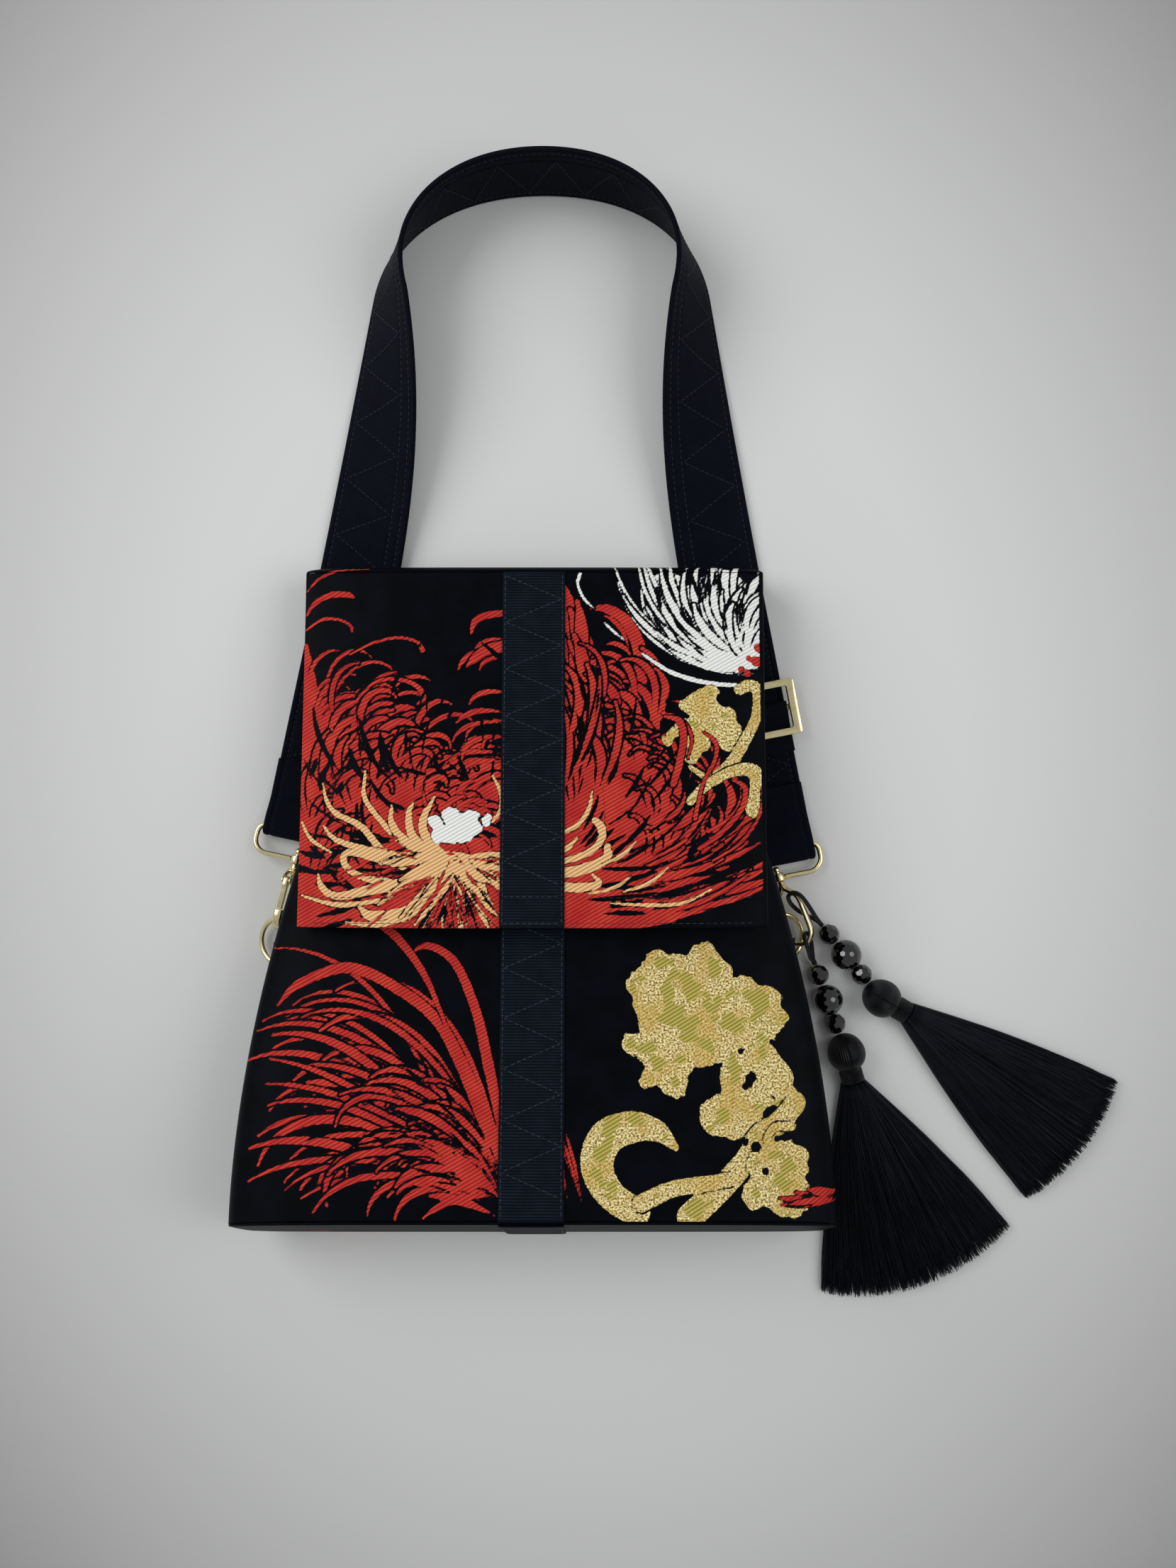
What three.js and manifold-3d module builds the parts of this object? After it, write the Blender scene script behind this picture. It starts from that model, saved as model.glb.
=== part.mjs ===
// A fold-over shoulder bag of brocade, lying on its back.
// Millimetres, +Z up out of the front, +Y towards the strap.
// The body is a boxed sack, and its sleeve folds forward over the front as a flap that holds the mouth.
import * as THREE from 'three';
import { mergeGeometries, mergeVertices } from 'three/addons/utils/BufferGeometryUtils.js';
import Module from 'manifold-3d';

const wasm = await Module();
wasm.setup();

const CLEARANCE = 0.3; // gap between pieces that touch

// Cloth
const CLOTH = 1.2; // brocade with its backing
const LINING = 0.6;
const RIBBON_WIDTH = 30;
const RIBBON_THICKNESS = 0.8;

// Body of the sack
const FOLD_Y = 165; // where the sack folds over
const FOLD_FRONT_Z = 16; // front wall at the fold
const FOLD_BACK_Z = 5.5; // back wall at the fold, over the strap
const FOLD_FLATNESS = 0.62; // how far the fold's roll stands out, as a share of its radius
const SLEEVE_HALF_WIDTH = 111;
const BASE_HALF_WIDTH = 143;
const BASE_FRONT_Y = -138;
const BASE_BACK_Y = -164;
const BASE_DEPTH = 67; // height of the front wall's lower edge over the ground
const BACK_LIFT = 8.5; // how far the slider and strap lift the back wall
const LIFT_START_Y = 32;
const LIFT_END_Y = 75;
const SETTLE_START_Y = 118; // from here the back wall sinks to its height at the fold
const SWELL_START = 0.42; // share of the length where the boxed bottom starts to spread the sides
const SWELL_POWER = 1.8;
const WEDGE_POWER = 1.1;
const FRONT_SQUARENESS = 4; // exponents of the superellipse sections
const BACK_SQUARENESS_TOP = 2.2;
const BACK_SQUARENESS_BASE = 6;
const SQUARING_START = 0.6; // share of the length where the back wall starts to square up
const BODY_COLUMNS = 16; // facets across half a section
const BODY_ROWS = 10;

// Flap: the sleeve that is folded over
const FLAP_END_Y = 0;
const FLAP_MOUTH_HALF_WIDTH = 110;
const FLAP_START_Y = 162;
const FLAP_THICKNESS = 10;
const FLAP_GAP = 0.9; // between the front wall and the flap
const FLAP_DROOP_FOLD = 2.2;
const FLAP_DROOP_MOUTH = 4.5;
const FLAP_EDGE_SQUARENESS = 5;
const FLAP_ROWS = 5;
const SNAP_RADIUS = 8;
const SNAP_THICKNESS = 1.5;
const SNAP_FROM_MOUTH = 22;

// Base board
const BOARD_THICKNESS = 2;
const BOARD_MARGIN = 14;
const BOARD_CORNER = 6;

// Strap
const STRAP_WIDTH = 40;
const WEBBING = 2.8;
const LEG_TOP_Y = 302; // where the straight legs turn into the arch
const LEFT_LEG_END = [-136.8, 35]; // outer corners of the strap's ends
const RIGHT_LEG_END = [139.9, 22.9];
const LEFT_LEG_TOP_X = -80;
const RIGHT_LEG_TOP_X = 85.5;
const ARCH_TOP = [4.5, 355.5];
const LEG_HANDLE = 35; // lengths of the arch's Bezier handles
const ARCH_HANDLE = 45;
const TWIST_START_Y = 150; // from here to the arch's top, the strap turns up on its edge
const TWIST_END_ANGLE = 96;
const TWIST_POWER = 1.6;
const RETURN_LENGTH = 39; // how far the end is sewn back on itself
const RETURN_RAMP = 14;
const LEFT_POCKET = 5.4; // from the strap's end to the ring's bar inside it
const RIGHT_POCKET = 8.4;

// Rings, hooks and D-rings
const WIRE = 2.6;
const RING_LENGTH = 45; // along the strap's width, between wire centres
const RING_DEPTH = 14.4;
const RING_CORNER = 7; // on the hook's side
const RING_STRAP_CORNER = 4.8; // inside the strap's loop
const RING_TILT = { left: 10.2, right: 2 }; // the hook's side of each ring stands up from the ground
const RING_SHIFT = { left: -0.2, right: 0 }; // along the strap's end, outwards below zero
const BARREL_RADIUS = 2.9;
const BARREL_LENGTH = 4;
const STEM_RADIUS = 1.3;
const STEM_HEAD_RADIUS = 1.7;
const HOOK_LENGTH = 36; // from the barrel's centre to the tip
const HOOK_HALF_WIDTH = 7.4;
const HOOK_ARM = 2.5;
const HOOK_THICKNESS = 4.4;
const HOOK_NECK = 3.4;
const HOOK_SHOULDER = 12; // where the neck has opened to the full width
const HOOK_BEVEL = 0.5;
const GATE_START = 12.5;
const GATE_END = 25;
const GATE_THICKNESS = 2.6;
const GATE_PIN_RADIUS = 0.9;
const DRING_INNER = 20;
const DRING_WIRE = 2.5;
const DRING_LEG = 4.8;
const DRING_BAR_Z = 11;
const DRING_SAG_ANGLE = 26;
const TAB_HALF_LENGTH = 4.6;
const TAB_OFFSET = -4; // each tab has slid towards the base along its D-ring's bar
const TAB_THICKNESS = 1.2;
const TAB_BELOW_SEAM = 4;
const TAB_STAND_OFF = 1.2; // from the wall's true curve, which its facets cross
const LEFT_DRING = [-123, -18.1]; // middle of the straight bars
const RIGHT_DRING = [118.6, -16];
const LEFT_HOOK = { heading: 194, rise: 4, roll: -82 }; // heading is clockwise from +Y
const RIGHT_HOOK = { heading: 160, rise: 8, roll: 27 };

// Slider
const SLIDER_FROM_END = 77; // slider's middle bar, measured up the right leg
const SLIDER_WIDTH = 51;
const SLIDER_LENGTH = 28;
const SLIDER_RAIL = 4.5;
const SLIDER_END_BAR = 3.6;
const SLIDER_THICKNESS = 2.2;
const SLIDER_CORNER = 1.6;
const MIDDLE_BAR = 3.2;
const MIDDLE_BAR_THICKNESS = 1.6;
const WRAP_WEBBING = 1.2;
const WRAP_LENGTH = 22;

// Charms
const CORD = 2.2;
const BEAD_SMALL = 5.2;
const BEAD_LARGE = 7.6;
const HEAD_RADIUS = 9.5;
const NECK_RADIUS = 5.8;
const NECK_LENGTH = 6;
const FAN_HEIGHT = 6; // of the skirts near their cut ends
const GROUND_GAP = 0.2;
const CHARM_A = {
  head: [154.1, -73.3],
  heading: 161,
  neckHeading: 164,
  fanHeading: 160.5,
  fanSpread: 57,
  fanLength: 108,
  cord: [
    [139.2, -30.2, 6.5], [138.6, -28.3, 6.5], [136.9, -26.9, 8], [135.5, -23.8, 10.6], [134.5, -21.5, 12.8],
    [133.6, -19.2, 14.4], [132.8, -16.8, 14.4], [132.7, -14.7, 12.9], [133.8, -14, 10.4], [135.4, -14.5, 7.9],
    [136.6, -16.5, 6.9], [137.3, -19.4, 6.5], [137.7, -23.1, 6.4], [138.2, -26.4, 5.4], [138.6, -28.3, 3.9],
    [139.2, -30.2, 3.9],
  ],
};
const CHARM_B = {
  head: [171.6, -46.3],
  heading: 141,
  neckHeading: 121,
  fanHeading: 127.5,
  fanSpread: 40,
  fanLength: 112,
  cord: [
    [142.9, -10.8, 6.5], [141.6, -9.3, 6.5], [138.8, -5.7, 8.5], [135.8, -1.2, 10.5], [133.1, 2.4, 12.2],
    [130.8, 4.9, 13.4], [128.6, 6.2, 13.5], [126.4, 6.1, 12.6], [125.1, 4.1, 11], [125.9, 1.8, 9.6],
    [127.5, -0.3, 8.2], [129.8, -2.4, 7.1], [132.3, -4.1, 5.8], [135.2, -5.6, 5.5], [138, -6.9, 5],
    [141.6, -9.3, 3.9], [142.9, -10.8, 3.9],
  ],
};

const COLOURS = {
  brocade: 0x0b0e1a, ribbon: 0x101722, strap: 0x0b0f1a, lining: 0x0a0d18, board: 0x55504a,
  gold: 0xd9c691, steel: 0xb9bcc0, bead: 0x08080b, silk: 0x0a0c14,
};

const group = new THREE.Group();
const radians = THREE.MathUtils.degToRad;
const mix = THREE.MathUtils.lerp;
const smooth = THREE.MathUtils.smoothstep;

// Meshes and booleans

/** The signed volume of a triangle mesh. */
function signedVolume(geometry) {
  const position = geometry.getAttribute('position');
  const index = geometry.getIndex();
  const [a, b, c] = [new THREE.Vector3(), new THREE.Vector3(), new THREE.Vector3()];
  let sum = 0;
  for (let i = 0; i < index.count; i += 3) {
    a.fromBufferAttribute(position, index.getX(i));
    b.fromBufferAttribute(position, index.getX(i + 1));
    c.fromBufferAttribute(position, index.getX(i + 2));
    sum += a.dot(b.cross(c)) / 6;
  }
  return sum;
}

/** Position-only geometry with shared vertices merged and faces pointing out. */
function closed(source) {
  const bare = source.clone();
  for (const name of Object.keys(bare.attributes)) if (name !== 'position') bare.deleteAttribute(name);
  const merged = mergeVertices(bare, 1e-4);
  const index = merged.getIndex();
  const kept = [];
  for (let i = 0; i < index.count; i += 3) {
    const [a, b, c] = [index.getX(i), index.getX(i + 1), index.getX(i + 2)];
    if (a !== b && b !== c && c !== a) kept.push(a, b, c);
  }
  merged.setIndex(kept);
  if (signedVolume(merged) < 0) merged.setIndex(kept.map((_, i) => kept[i - (i % 3) + [0, 2, 1][i % 3]]));
  return merged;
}

function toSolid(geometry) {
  const merged = closed(geometry);
  return new wasm.Manifold(new wasm.Mesh({
    numProp: 3,
    vertProperties: Float32Array.from(merged.getAttribute('position').array),
    triVerts: Uint32Array.from(merged.getIndex().array),
  }));
}

function toGeometry(solid) {
  const mesh = solid.getMesh();
  const geometry = new THREE.BufferGeometry();
  const corners = [];
  for (let i = 0; i < mesh.numVert; i += 1) {
    const start = i * mesh.numProp;
    corners.push(...mesh.vertProperties.slice(start, start + 3));
  }
  geometry.setAttribute('position', new THREE.Float32BufferAttribute(corners, 3));
  geometry.setIndex(Array.from(mesh.triVerts));
  return geometry;
}

function join(first, ...rest) {
  return toGeometry(rest.reduce((sum, piece) => sum.add(toSolid(piece)), toSolid(first)));
}

function cut(first, ...rest) {
  return toGeometry(rest.reduce((sum, piece) => sum.subtract(toSolid(piece)), toSolid(first)));
}

function addPiece(name, geometry, colour, roughness = 0.8, metalness = 0) {
  const shape = closed(geometry);
  shape.computeVertexNormals();
  const mesh = new THREE.Mesh(shape, new THREE.MeshStandardMaterial({ color: colour, roughness, metalness }));
  mesh.name = name;
  group.add(mesh);
  return mesh;
}

/** A wall between an outer and an inner surface: point(u, v, side) with side 0 outside and 1 inside. */
function wall(point, uCount, vCount, ringed = false) {
  const columns = ringed ? uCount : uCount + 1;
  const corners = [];
  const faces = [];
  for (const side of [0, 1]) {
    for (let j = 0; j <= vCount; j += 1) {
      for (let i = 0; i < columns; i += 1) corners.push(...point(i / uCount, j / vCount, side));
    }
  }
  const at = (i, j, side) => (side * (vCount + 1) + j) * columns + (i % columns);
  const quad = (a, b, c, d) => faces.push(a, b, c, a, c, d);
  for (let i = 0; i < uCount; i += 1) {
    for (let j = 0; j < vCount; j += 1) {
      quad(at(i, j, 0), at(i + 1, j, 0), at(i + 1, j + 1, 0), at(i, j + 1, 0));
      quad(at(i, j, 1), at(i, j + 1, 1), at(i + 1, j + 1, 1), at(i + 1, j, 1));
    }
    quad(at(i, 0, 0), at(i, 0, 1), at(i + 1, 0, 1), at(i + 1, 0, 0));
    quad(at(i, vCount, 0), at(i + 1, vCount, 0), at(i + 1, vCount, 1), at(i, vCount, 1));
  }
  if (!ringed) {
    for (let j = 0; j < vCount; j += 1) {
      quad(at(0, j, 0), at(0, j + 1, 0), at(0, j + 1, 1), at(0, j, 1));
      quad(at(uCount, j, 0), at(uCount, j, 1), at(uCount, j + 1, 1), at(uCount, j + 1, 0));
    }
  }
  const geometry = new THREE.BufferGeometry();
  geometry.setAttribute('position', new THREE.Float32BufferAttribute(corners, 3));
  geometry.setIndex(faces);
  return geometry;
}

/** A frame with the given origin whose columns are the unit vectors along, across and up. */
function frameOf(origin, along, across) {
  const x = along.clone().normalize();
  const z = new THREE.Vector3().crossVectors(x, across).normalize();
  const y = new THREE.Vector3().crossVectors(z, x);
  return new THREE.Matrix4().makeBasis(x, y, z).setPosition(origin);
}

/** A closed shape in X and Y, pulled up to the given thickness with its middle at Z = 0. */
function plate(shape, thickness, bevel = 0, curveSegments = 8) {
  const geometry = new THREE.ExtrudeGeometry(shape, {
    depth: thickness - 2 * bevel,
    bevelEnabled: bevel > 0,
    bevelThickness: bevel,
    bevelSize: bevel,
    bevelOffset: -bevel,
    bevelSegments: 1,
    curveSegments,
  });
  return geometry.translate(0, 0, bevel - thickness / 2);
}

function disc(radius, length, segments = 16) {
  return new THREE.CylinderGeometry(radius, radius, length, segments);
}

/** A round wire along a closed or open curve. */
function wire(curve, diameter, steps, sides = 8) {
  const outline = new THREE.Shape();
  for (let i = 0; i < sides; i += 1) {
    const angle = (2 * Math.PI * i) / sides;
    const point = [diameter / 2 * Math.cos(angle), diameter / 2 * Math.sin(angle)];
    if (i === 0) outline.moveTo(...point);
    else outline.lineTo(...point);
  }
  outline.closePath();
  return new THREE.ExtrudeGeometry(outline, { steps, extrudePath: curve, bevelEnabled: false });
}

/** A rectangle with round corners, centred at the given point. */
function roundedRectangle(target, x, y, width, height, radius) {
  const [left, right, low, high] = [x - width / 2, x + width / 2, y - height / 2, y + height / 2];
  target.moveTo(left + radius, low);
  target.lineTo(right - radius, low);
  target.absarc(right - radius, low + radius, radius, -Math.PI / 2, 0);
  target.lineTo(right, high - radius);
  target.absarc(right - radius, high - radius, radius, 0, Math.PI / 2);
  target.lineTo(left + radius, high);
  target.absarc(left + radius, high - radius, radius, Math.PI / 2, Math.PI);
  target.lineTo(left, low + radius);
  target.absarc(left + radius, low + radius, radius, Math.PI, 1.5 * Math.PI);
  return target;
}

// Body surfaces

const backRest = RIBBON_THICKNESS + CLEARANCE; // the back wall lies on its ribbon
const wallDepth = CLOTH + CLEARANCE + LINING;

/** The section of the sack at a share t of its length, from the fold to the base. */
function section(t) {
  const backY = mix(FOLD_Y, BASE_BACK_Y, t);
  const lifted = smooth(backY, LIFT_START_Y, LIFT_END_Y);
  const settled = smooth(backY, SETTLE_START_Y, FOLD_Y);
  const back = backRest + BACK_LIFT * lifted + (FOLD_BACK_Z - backRest - BACK_LIFT) * settled;
  const front = FOLD_FRONT_Z + (BASE_DEPTH - FOLD_FRONT_Z) * t ** WEDGE_POWER;
  const swell = 1 - (1 - Math.max(0, (t - SWELL_START) / (1 - SWELL_START))) ** SWELL_POWER;
  return {
    backY,
    frontY: mix(FOLD_Y, BASE_FRONT_Y, t),
    back,
    front,
    seam: (back + front) / 2,
    half: mix(SLEEVE_HALF_WIDTH, BASE_HALF_WIDTH, swell),
    backSquareness: mix(BACK_SQUARENESS_TOP, BACK_SQUARENESS_BASE, smooth(t, SQUARING_START, 1)),
  };
}

/** A point of the section at an angle (0 at the right seam, pi at the left one), a depth inside the cloth. */
function bodyPoint(angle, t, depth) {
  const s = section(t);
  const [c, n] = [Math.cos(angle), Math.sin(angle)];
  const power = n >= 0 ? FRONT_SQUARENESS : s.backSquareness;
  const x = (s.half - depth) * Math.sign(c) * Math.abs(c) ** (2 / power);
  const rise = Math.abs(n) ** (2 / power);
  const z = n >= 0 ? s.seam + (s.front - s.seam - depth) * rise : s.seam - (s.seam - s.back - depth) * rise;
  return [x, mix(s.backY, s.frontY, (z - s.back) / (s.front - s.back)), z];
}

/** A point over (or under) the sack's wall at a given x, a height outside the cloth. */
function bodyPointAt(x, t, outside, front) {
  const s = section(t);
  const power = front ? FRONT_SQUARENESS : s.backSquareness;
  const rise = (1 - Math.abs(x / s.half) ** power) ** (1 / power);
  const above = s.seam + (s.front - s.seam) * rise + outside;
  const below = s.seam - (s.seam - s.back) * rise - outside;
  const z = front ? above : below;
  return [x, mix(s.backY, s.frontY, (z - s.back) / (s.front - s.back)), z];
}

const bodyLength = FOLD_Y - BASE_FRONT_Y;
const atBase = 1 - 1.2 * CLEARANCE / bodyLength; // panels stop short of the base panel
const atFold = (FOLD_Y - FLAP_START_Y) / bodyLength;

/** The share of the length at row v of the body: every layer has its rows at the same shares. */
const rowShare = (v, end) => (v > 1 - 1e-6 ? end : mix(atFold, atBase, v));

/** Half of the sack's outer cloth; the front half lies a clearance above the back one at the side seams. */
function panel(front) {
  return wall((u, v, side) => {
    const [x, y, z] = bodyPoint((front ? Math.PI : -Math.PI) * u, rowShare(v, atBase), side * CLOTH);
    return [x, y, z + (front ? CLEARANCE : 0)];
  }, BODY_COLUMNS, BODY_ROWS);
}

addPiece('front_panel', panel(true), COLOURS.brocade);
addPiece('back_panel', panel(false), COLOURS.brocade);

// Base: a flat boxed bottom in the slanted plane of the last section

const baseStart = section(1);
const baseLean = Math.atan2(baseStart.frontY - baseStart.backY, baseStart.front - baseStart.back);
const baseFrame = new THREE.Matrix4()
  .makeTranslation(0, baseStart.backY, baseStart.back)
  .multiply(new THREE.Matrix4().makeRotationX(Math.PI / 2 - baseLean));

/** The last section as an outline in the base's own plane, drawn in by an inset. */
function baseOutline(inset) {
  const outline = new THREE.Shape();
  const count = 40;
  for (let i = 0; i < count; i += 1) {
    const [x, , z] = bodyPoint((2 * Math.PI * i) / count, 1, inset);
    const point = [x, (z - baseStart.back) / Math.cos(baseLean)];
    if (i === 0) outline.moveTo(...point);
    else outline.lineTo(...point);
  }
  outline.closePath();
  return outline;
}

addPiece('base_panel', plate(baseOutline(0), CLOTH).translate(0, 0, CLOTH / 2).applyMatrix4(baseFrame),
  COLOURS.brocade);

const liningEnd = 1 - 1.2 * (LINING + CLEARANCE) / bodyLength;

/** The lining is an open sack: a ring of wall and a bottom. */
function bodyLining() {
  const depth = CLOTH + CLEARANCE;
  const ringPoint = (u, v, side) => bodyPoint(-2 * Math.PI * u, rowShare(v, liningEnd), depth + side * LINING);
  const ring = wall(ringPoint, 2 * BODY_COLUMNS, BODY_ROWS, true);
  const s = section(liningEnd);
  const lean = Math.atan2(s.frontY - s.backY, s.front - s.back);
  const outline = new THREE.Shape();
  const count = 2 * BODY_COLUMNS;
  for (let i = 0; i < count; i += 1) {
    const [x, , z] = bodyPoint((2 * Math.PI * i) / count, liningEnd, depth + LINING / 4);
    const point = [x, (z - s.back) / Math.cos(lean)];
    if (i === 0) outline.moveTo(...point);
    else outline.lineTo(...point);
  }
  outline.closePath();
  const bottom = plate(outline, LINING).applyMatrix4(new THREE.Matrix4()
    .makeTranslation(0, s.backY, s.back)
    .multiply(new THREE.Matrix4().makeRotationX(Math.PI / 2 - lean)));
  return join(ring, bottom.translate(0, LINING / 3, 0));
}
addPiece('body_lining', bodyLining(), COLOURS.lining, 0.6);

const boardStart = section(liningEnd);
const boardHeight = (boardStart.front - boardStart.back - 2 * wallDepth) / Math.cos(baseLean) - BOARD_MARGIN;
const boardWidth = 2 * (BASE_HALF_WIDTH - BOARD_MARGIN);
const boardMiddle = (boardStart.front - boardStart.back) / Math.cos(baseLean) / 2;
const board = plate(roundedRectangle(new THREE.Shape(), 0, 0, boardWidth, boardHeight, BOARD_CORNER),
  BOARD_THICKNESS, 0, 3);
board.translate(0, boardMiddle, -BOARD_THICKNESS / 2 - CLEARANCE - LINING);
board.applyMatrix4(new THREE.Matrix4()
  .makeTranslation(0, boardStart.backY, boardStart.back)
  .multiply(new THREE.Matrix4().makeRotationX(Math.PI / 2 - baseLean)));
addPiece('base_board', board, COLOURS.board, 0.9);

// Centre ribbon of the body

/** The back run is flat across its width, so that the bag rests on it. */
function ribbonRun(front) {
  const lift = front ? 2 * CLEARANCE : CLEARANCE;
  return wall((u, v, side) => {
    const x = mix(-RIBBON_WIDTH / 2, RIBBON_WIDTH / 2, u);
    const [, y, z] = bodyPointAt(front ? x : 0, rowShare(v, atBase), lift + side * RIBBON_THICKNESS, front);
    return [x, y, z];
  }, 2, BODY_ROWS);
}
addPiece('front_ribbon', ribbonRun(true), COLOURS.ribbon);
addPiece('back_ribbon', ribbonRun(false), COLOURS.ribbon);

const baseHeight = (baseStart.front - baseStart.back) / Math.cos(baseLean);
const baseRibbon = new THREE.BoxGeometry(RIBBON_WIDTH, baseHeight, RIBBON_THICKNESS);
baseRibbon.translate(0, baseHeight / 2, CLOTH + CLEARANCE + RIBBON_THICKNESS / 2);
addPiece('base_ribbon', baseRibbon.applyMatrix4(baseFrame), COLOURS.ribbon);

// Flap: the sleeve folded forward over the front

const flapLength = FLAP_START_Y - FLAP_END_Y;

/** The underside of the flap at a share v of its length, from the fold to the mouth. */
function flapHeight(x, v) {
  const y = mix(FLAP_START_Y, FLAP_END_Y, v);
  const t = (FOLD_Y - y) / bodyLength;
  const droop = mix(FLAP_DROOP_FOLD, FLAP_DROOP_MOUTH, v) * Math.abs(x / SLEEVE_HALF_WIDTH) ** FRONT_SQUARENESS;
  return { y, under: section(t).front + RIBBON_THICKNESS + 2 * CLEARANCE + FLAP_GAP - droop };
}

/** A point of the sleeve's closed section: angle 0 at the right edge, 90 degrees on top. */
function flapPoint(angle, v, depth) {
  const half = mix(SLEEVE_HALF_WIDTH, FLAP_MOUTH_HALF_WIDTH, v) - depth;
  const [c, n] = [Math.cos(angle), Math.sin(angle)];
  const x = half * Math.sign(c) * Math.abs(c) ** (2 / FLAP_EDGE_SQUARENESS);
  const rise = (FLAP_THICKNESS / 2 - depth) * Math.sign(n) * Math.abs(n) ** (2 / FLAP_EDGE_SQUARENESS);
  const { y, under } = flapHeight(x, v);
  return [x, y, under + FLAP_THICKNESS / 2 + rise];
}

function flapWall(sign) {
  return wall((u, v, side) => {
    const [x, y, z] = flapPoint(sign * Math.PI * u, v, side * CLOTH);
    return [x, y, z + (sign > 0 ? CLEARANCE : 0)];
  }, BODY_COLUMNS, FLAP_ROWS);
}
addPiece('flap_outer', flapWall(1), COLOURS.brocade);
addPiece('flap_inner', flapWall(-1), COLOURS.brocade);

const sleeveLining = (u, v, side) => flapPoint(-2 * Math.PI * u, v, CLOTH + CLEARANCE + side * LINING);
addPiece('flap_lining', wall(sleeveLining, 2 * BODY_COLUMNS, FLAP_ROWS, true), COLOURS.lining, 0.6);

addPiece('flap_ribbon', wall((u, v, side) => {
  const x = mix(-RIBBON_WIDTH / 2, RIBBON_WIDTH / 2, u);
  const { y, under } = flapHeight(x, v);
  return [x, y, under + FLAP_THICKNESS + 2 * CLEARANCE + side * RIBBON_THICKNESS];
}, 2, FLAP_ROWS), COLOURS.ribbon);

for (const [name, sign] of [['snap_upper', 1], ['snap_lower', -1]]) {
  const v = 1 - SNAP_FROM_MOUTH / flapLength;
  const { y, under } = flapHeight(0, v);
  const lean = Math.atan2(flapHeight(0, 1).under - flapHeight(0, 0).under, flapLength);
  const reach = FLAP_THICKNESS / 2 - wallDepth - 2 * CLEARANCE - SNAP_THICKNESS / 2;
  const button = disc(SNAP_RADIUS, SNAP_THICKNESS, 20).rotateX(Math.PI / 2 - lean);
  addPiece(name, button.translate(0, y, under + FLAP_THICKNESS / 2 + sign * reach), COLOURS.steel, 0.35, 1);
}

// Fold: the roll of cloth that joins the body's back wall to the flap's upper wall

const foldLow = section(atFold).back;
const foldHigh = flapHeight(0, 0).under + FLAP_THICKNESS;
addPiece('fold_spine', wall((u, v, side) => {
  const radius = (foldHigh - foldLow) / 2 - side * CLOTH;
  const angle = mix(-Math.PI / 2, Math.PI / 2, v);
  const x = mix(-SLEEVE_HALF_WIDTH, SLEEVE_HALF_WIDTH, u);
  const y = FLAP_START_Y + CLEARANCE + FOLD_FLATNESS * radius * Math.cos(angle);
  return [x, y, (foldHigh + foldLow) / 2 + radius * Math.sin(angle)];
}, 6, 8), COLOURS.brocade);

// Strap

/** The strap's outer edge on the ground: a leg, two quarter arches and the other leg. */
function strapEdge() {
  const leftEnd = new THREE.Vector3(...LEFT_LEG_END, 0);
  const leftTop = new THREE.Vector3(LEFT_LEG_TOP_X, LEG_TOP_Y, 0);
  const rightEnd = new THREE.Vector3(...RIGHT_LEG_END, 0);
  const rightTop = new THREE.Vector3(RIGHT_LEG_TOP_X, LEG_TOP_Y, 0);
  const top = new THREE.Vector3(...ARCH_TOP, 0);
  const up = leftTop.clone().sub(leftEnd).normalize();
  const down = rightEnd.clone().sub(rightTop).normalize();
  const over = new THREE.Vector3(1, 0, 0);
  const path = new THREE.CurvePath();
  path.add(new THREE.LineCurve3(leftEnd.clone().addScaledVector(up, LEFT_POCKET + 1), leftTop));
  path.add(new THREE.CubicBezierCurve3(leftTop, leftTop.clone().addScaledVector(up, LEG_HANDLE),
    top.clone().addScaledVector(over, -ARCH_HANDLE), top));
  path.add(new THREE.CubicBezierCurve3(top, top.clone().addScaledVector(over, ARCH_HANDLE),
    rightTop.clone().addScaledVector(down, -LEG_HANDLE), rightTop));
  path.add(new THREE.LineCurve3(rightTop, rightEnd.clone().addScaledVector(down, -RIGHT_POCKET - 1)));
  return { path, up, down, leftEnd, rightEnd };
}

const strap = strapEdge();

/** The strap's webbing: its outer edge follows the ground and its inner edge rises towards the arch. */
function strapStrip() {
  const steps = 44;
  const corners = [];
  const faces = [];
  for (let k = 0; k <= steps; k += 1) {
    const place = strap.path.getPointAt(k / steps);
    const heading = strap.path.getTangentAt(k / steps);
    const inward = new THREE.Vector3(heading.y, -heading.x, 0).normalize();
    const share = THREE.MathUtils.clamp((place.y - TWIST_START_Y) / (ARCH_TOP[1] - TWIST_START_Y), 0, 1);
    const turn = radians(TWIST_END_ANGLE) * share ** TWIST_POWER;
    const across = inward.clone().multiplyScalar(Math.cos(turn)).add(new THREE.Vector3(0, 0, Math.sin(turn)));
    const out = new THREE.Vector3().crossVectors(across, heading);
    const edge = place.clone().setZ(Math.max(0, -out.z) * WEBBING);
    const far = edge.clone().addScaledVector(across, STRAP_WIDTH);
    const raised = [far, edge].map((corner) => corner.clone().addScaledVector(out, WEBBING));
    for (const corner of [edge, far, ...raised]) corners.push(...corner.toArray());
  }
  for (let k = 0; k < steps; k += 1) {
    for (let i = 0; i < 4; i += 1) {
      const [a, b] = [4 * k + i, 4 * k + ((i + 1) % 4)];
      faces.push(a, b, b + 4, a, b + 4, a + 4);
    }
  }
  const end = 4 * steps;
  faces.push(0, 2, 1, 0, 3, 2, end, end + 1, end + 2, end, end + 2, end + 3);
  const geometry = new THREE.BufferGeometry();
  geometry.setAttribute('position', new THREE.Float32BufferAttribute(corners, 3));
  geometry.setIndex(faces);
  return geometry;
}

const loopInner = WIRE / 2 + CLEARANCE;
const loopOuter = loopInner + WEBBING;

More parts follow.
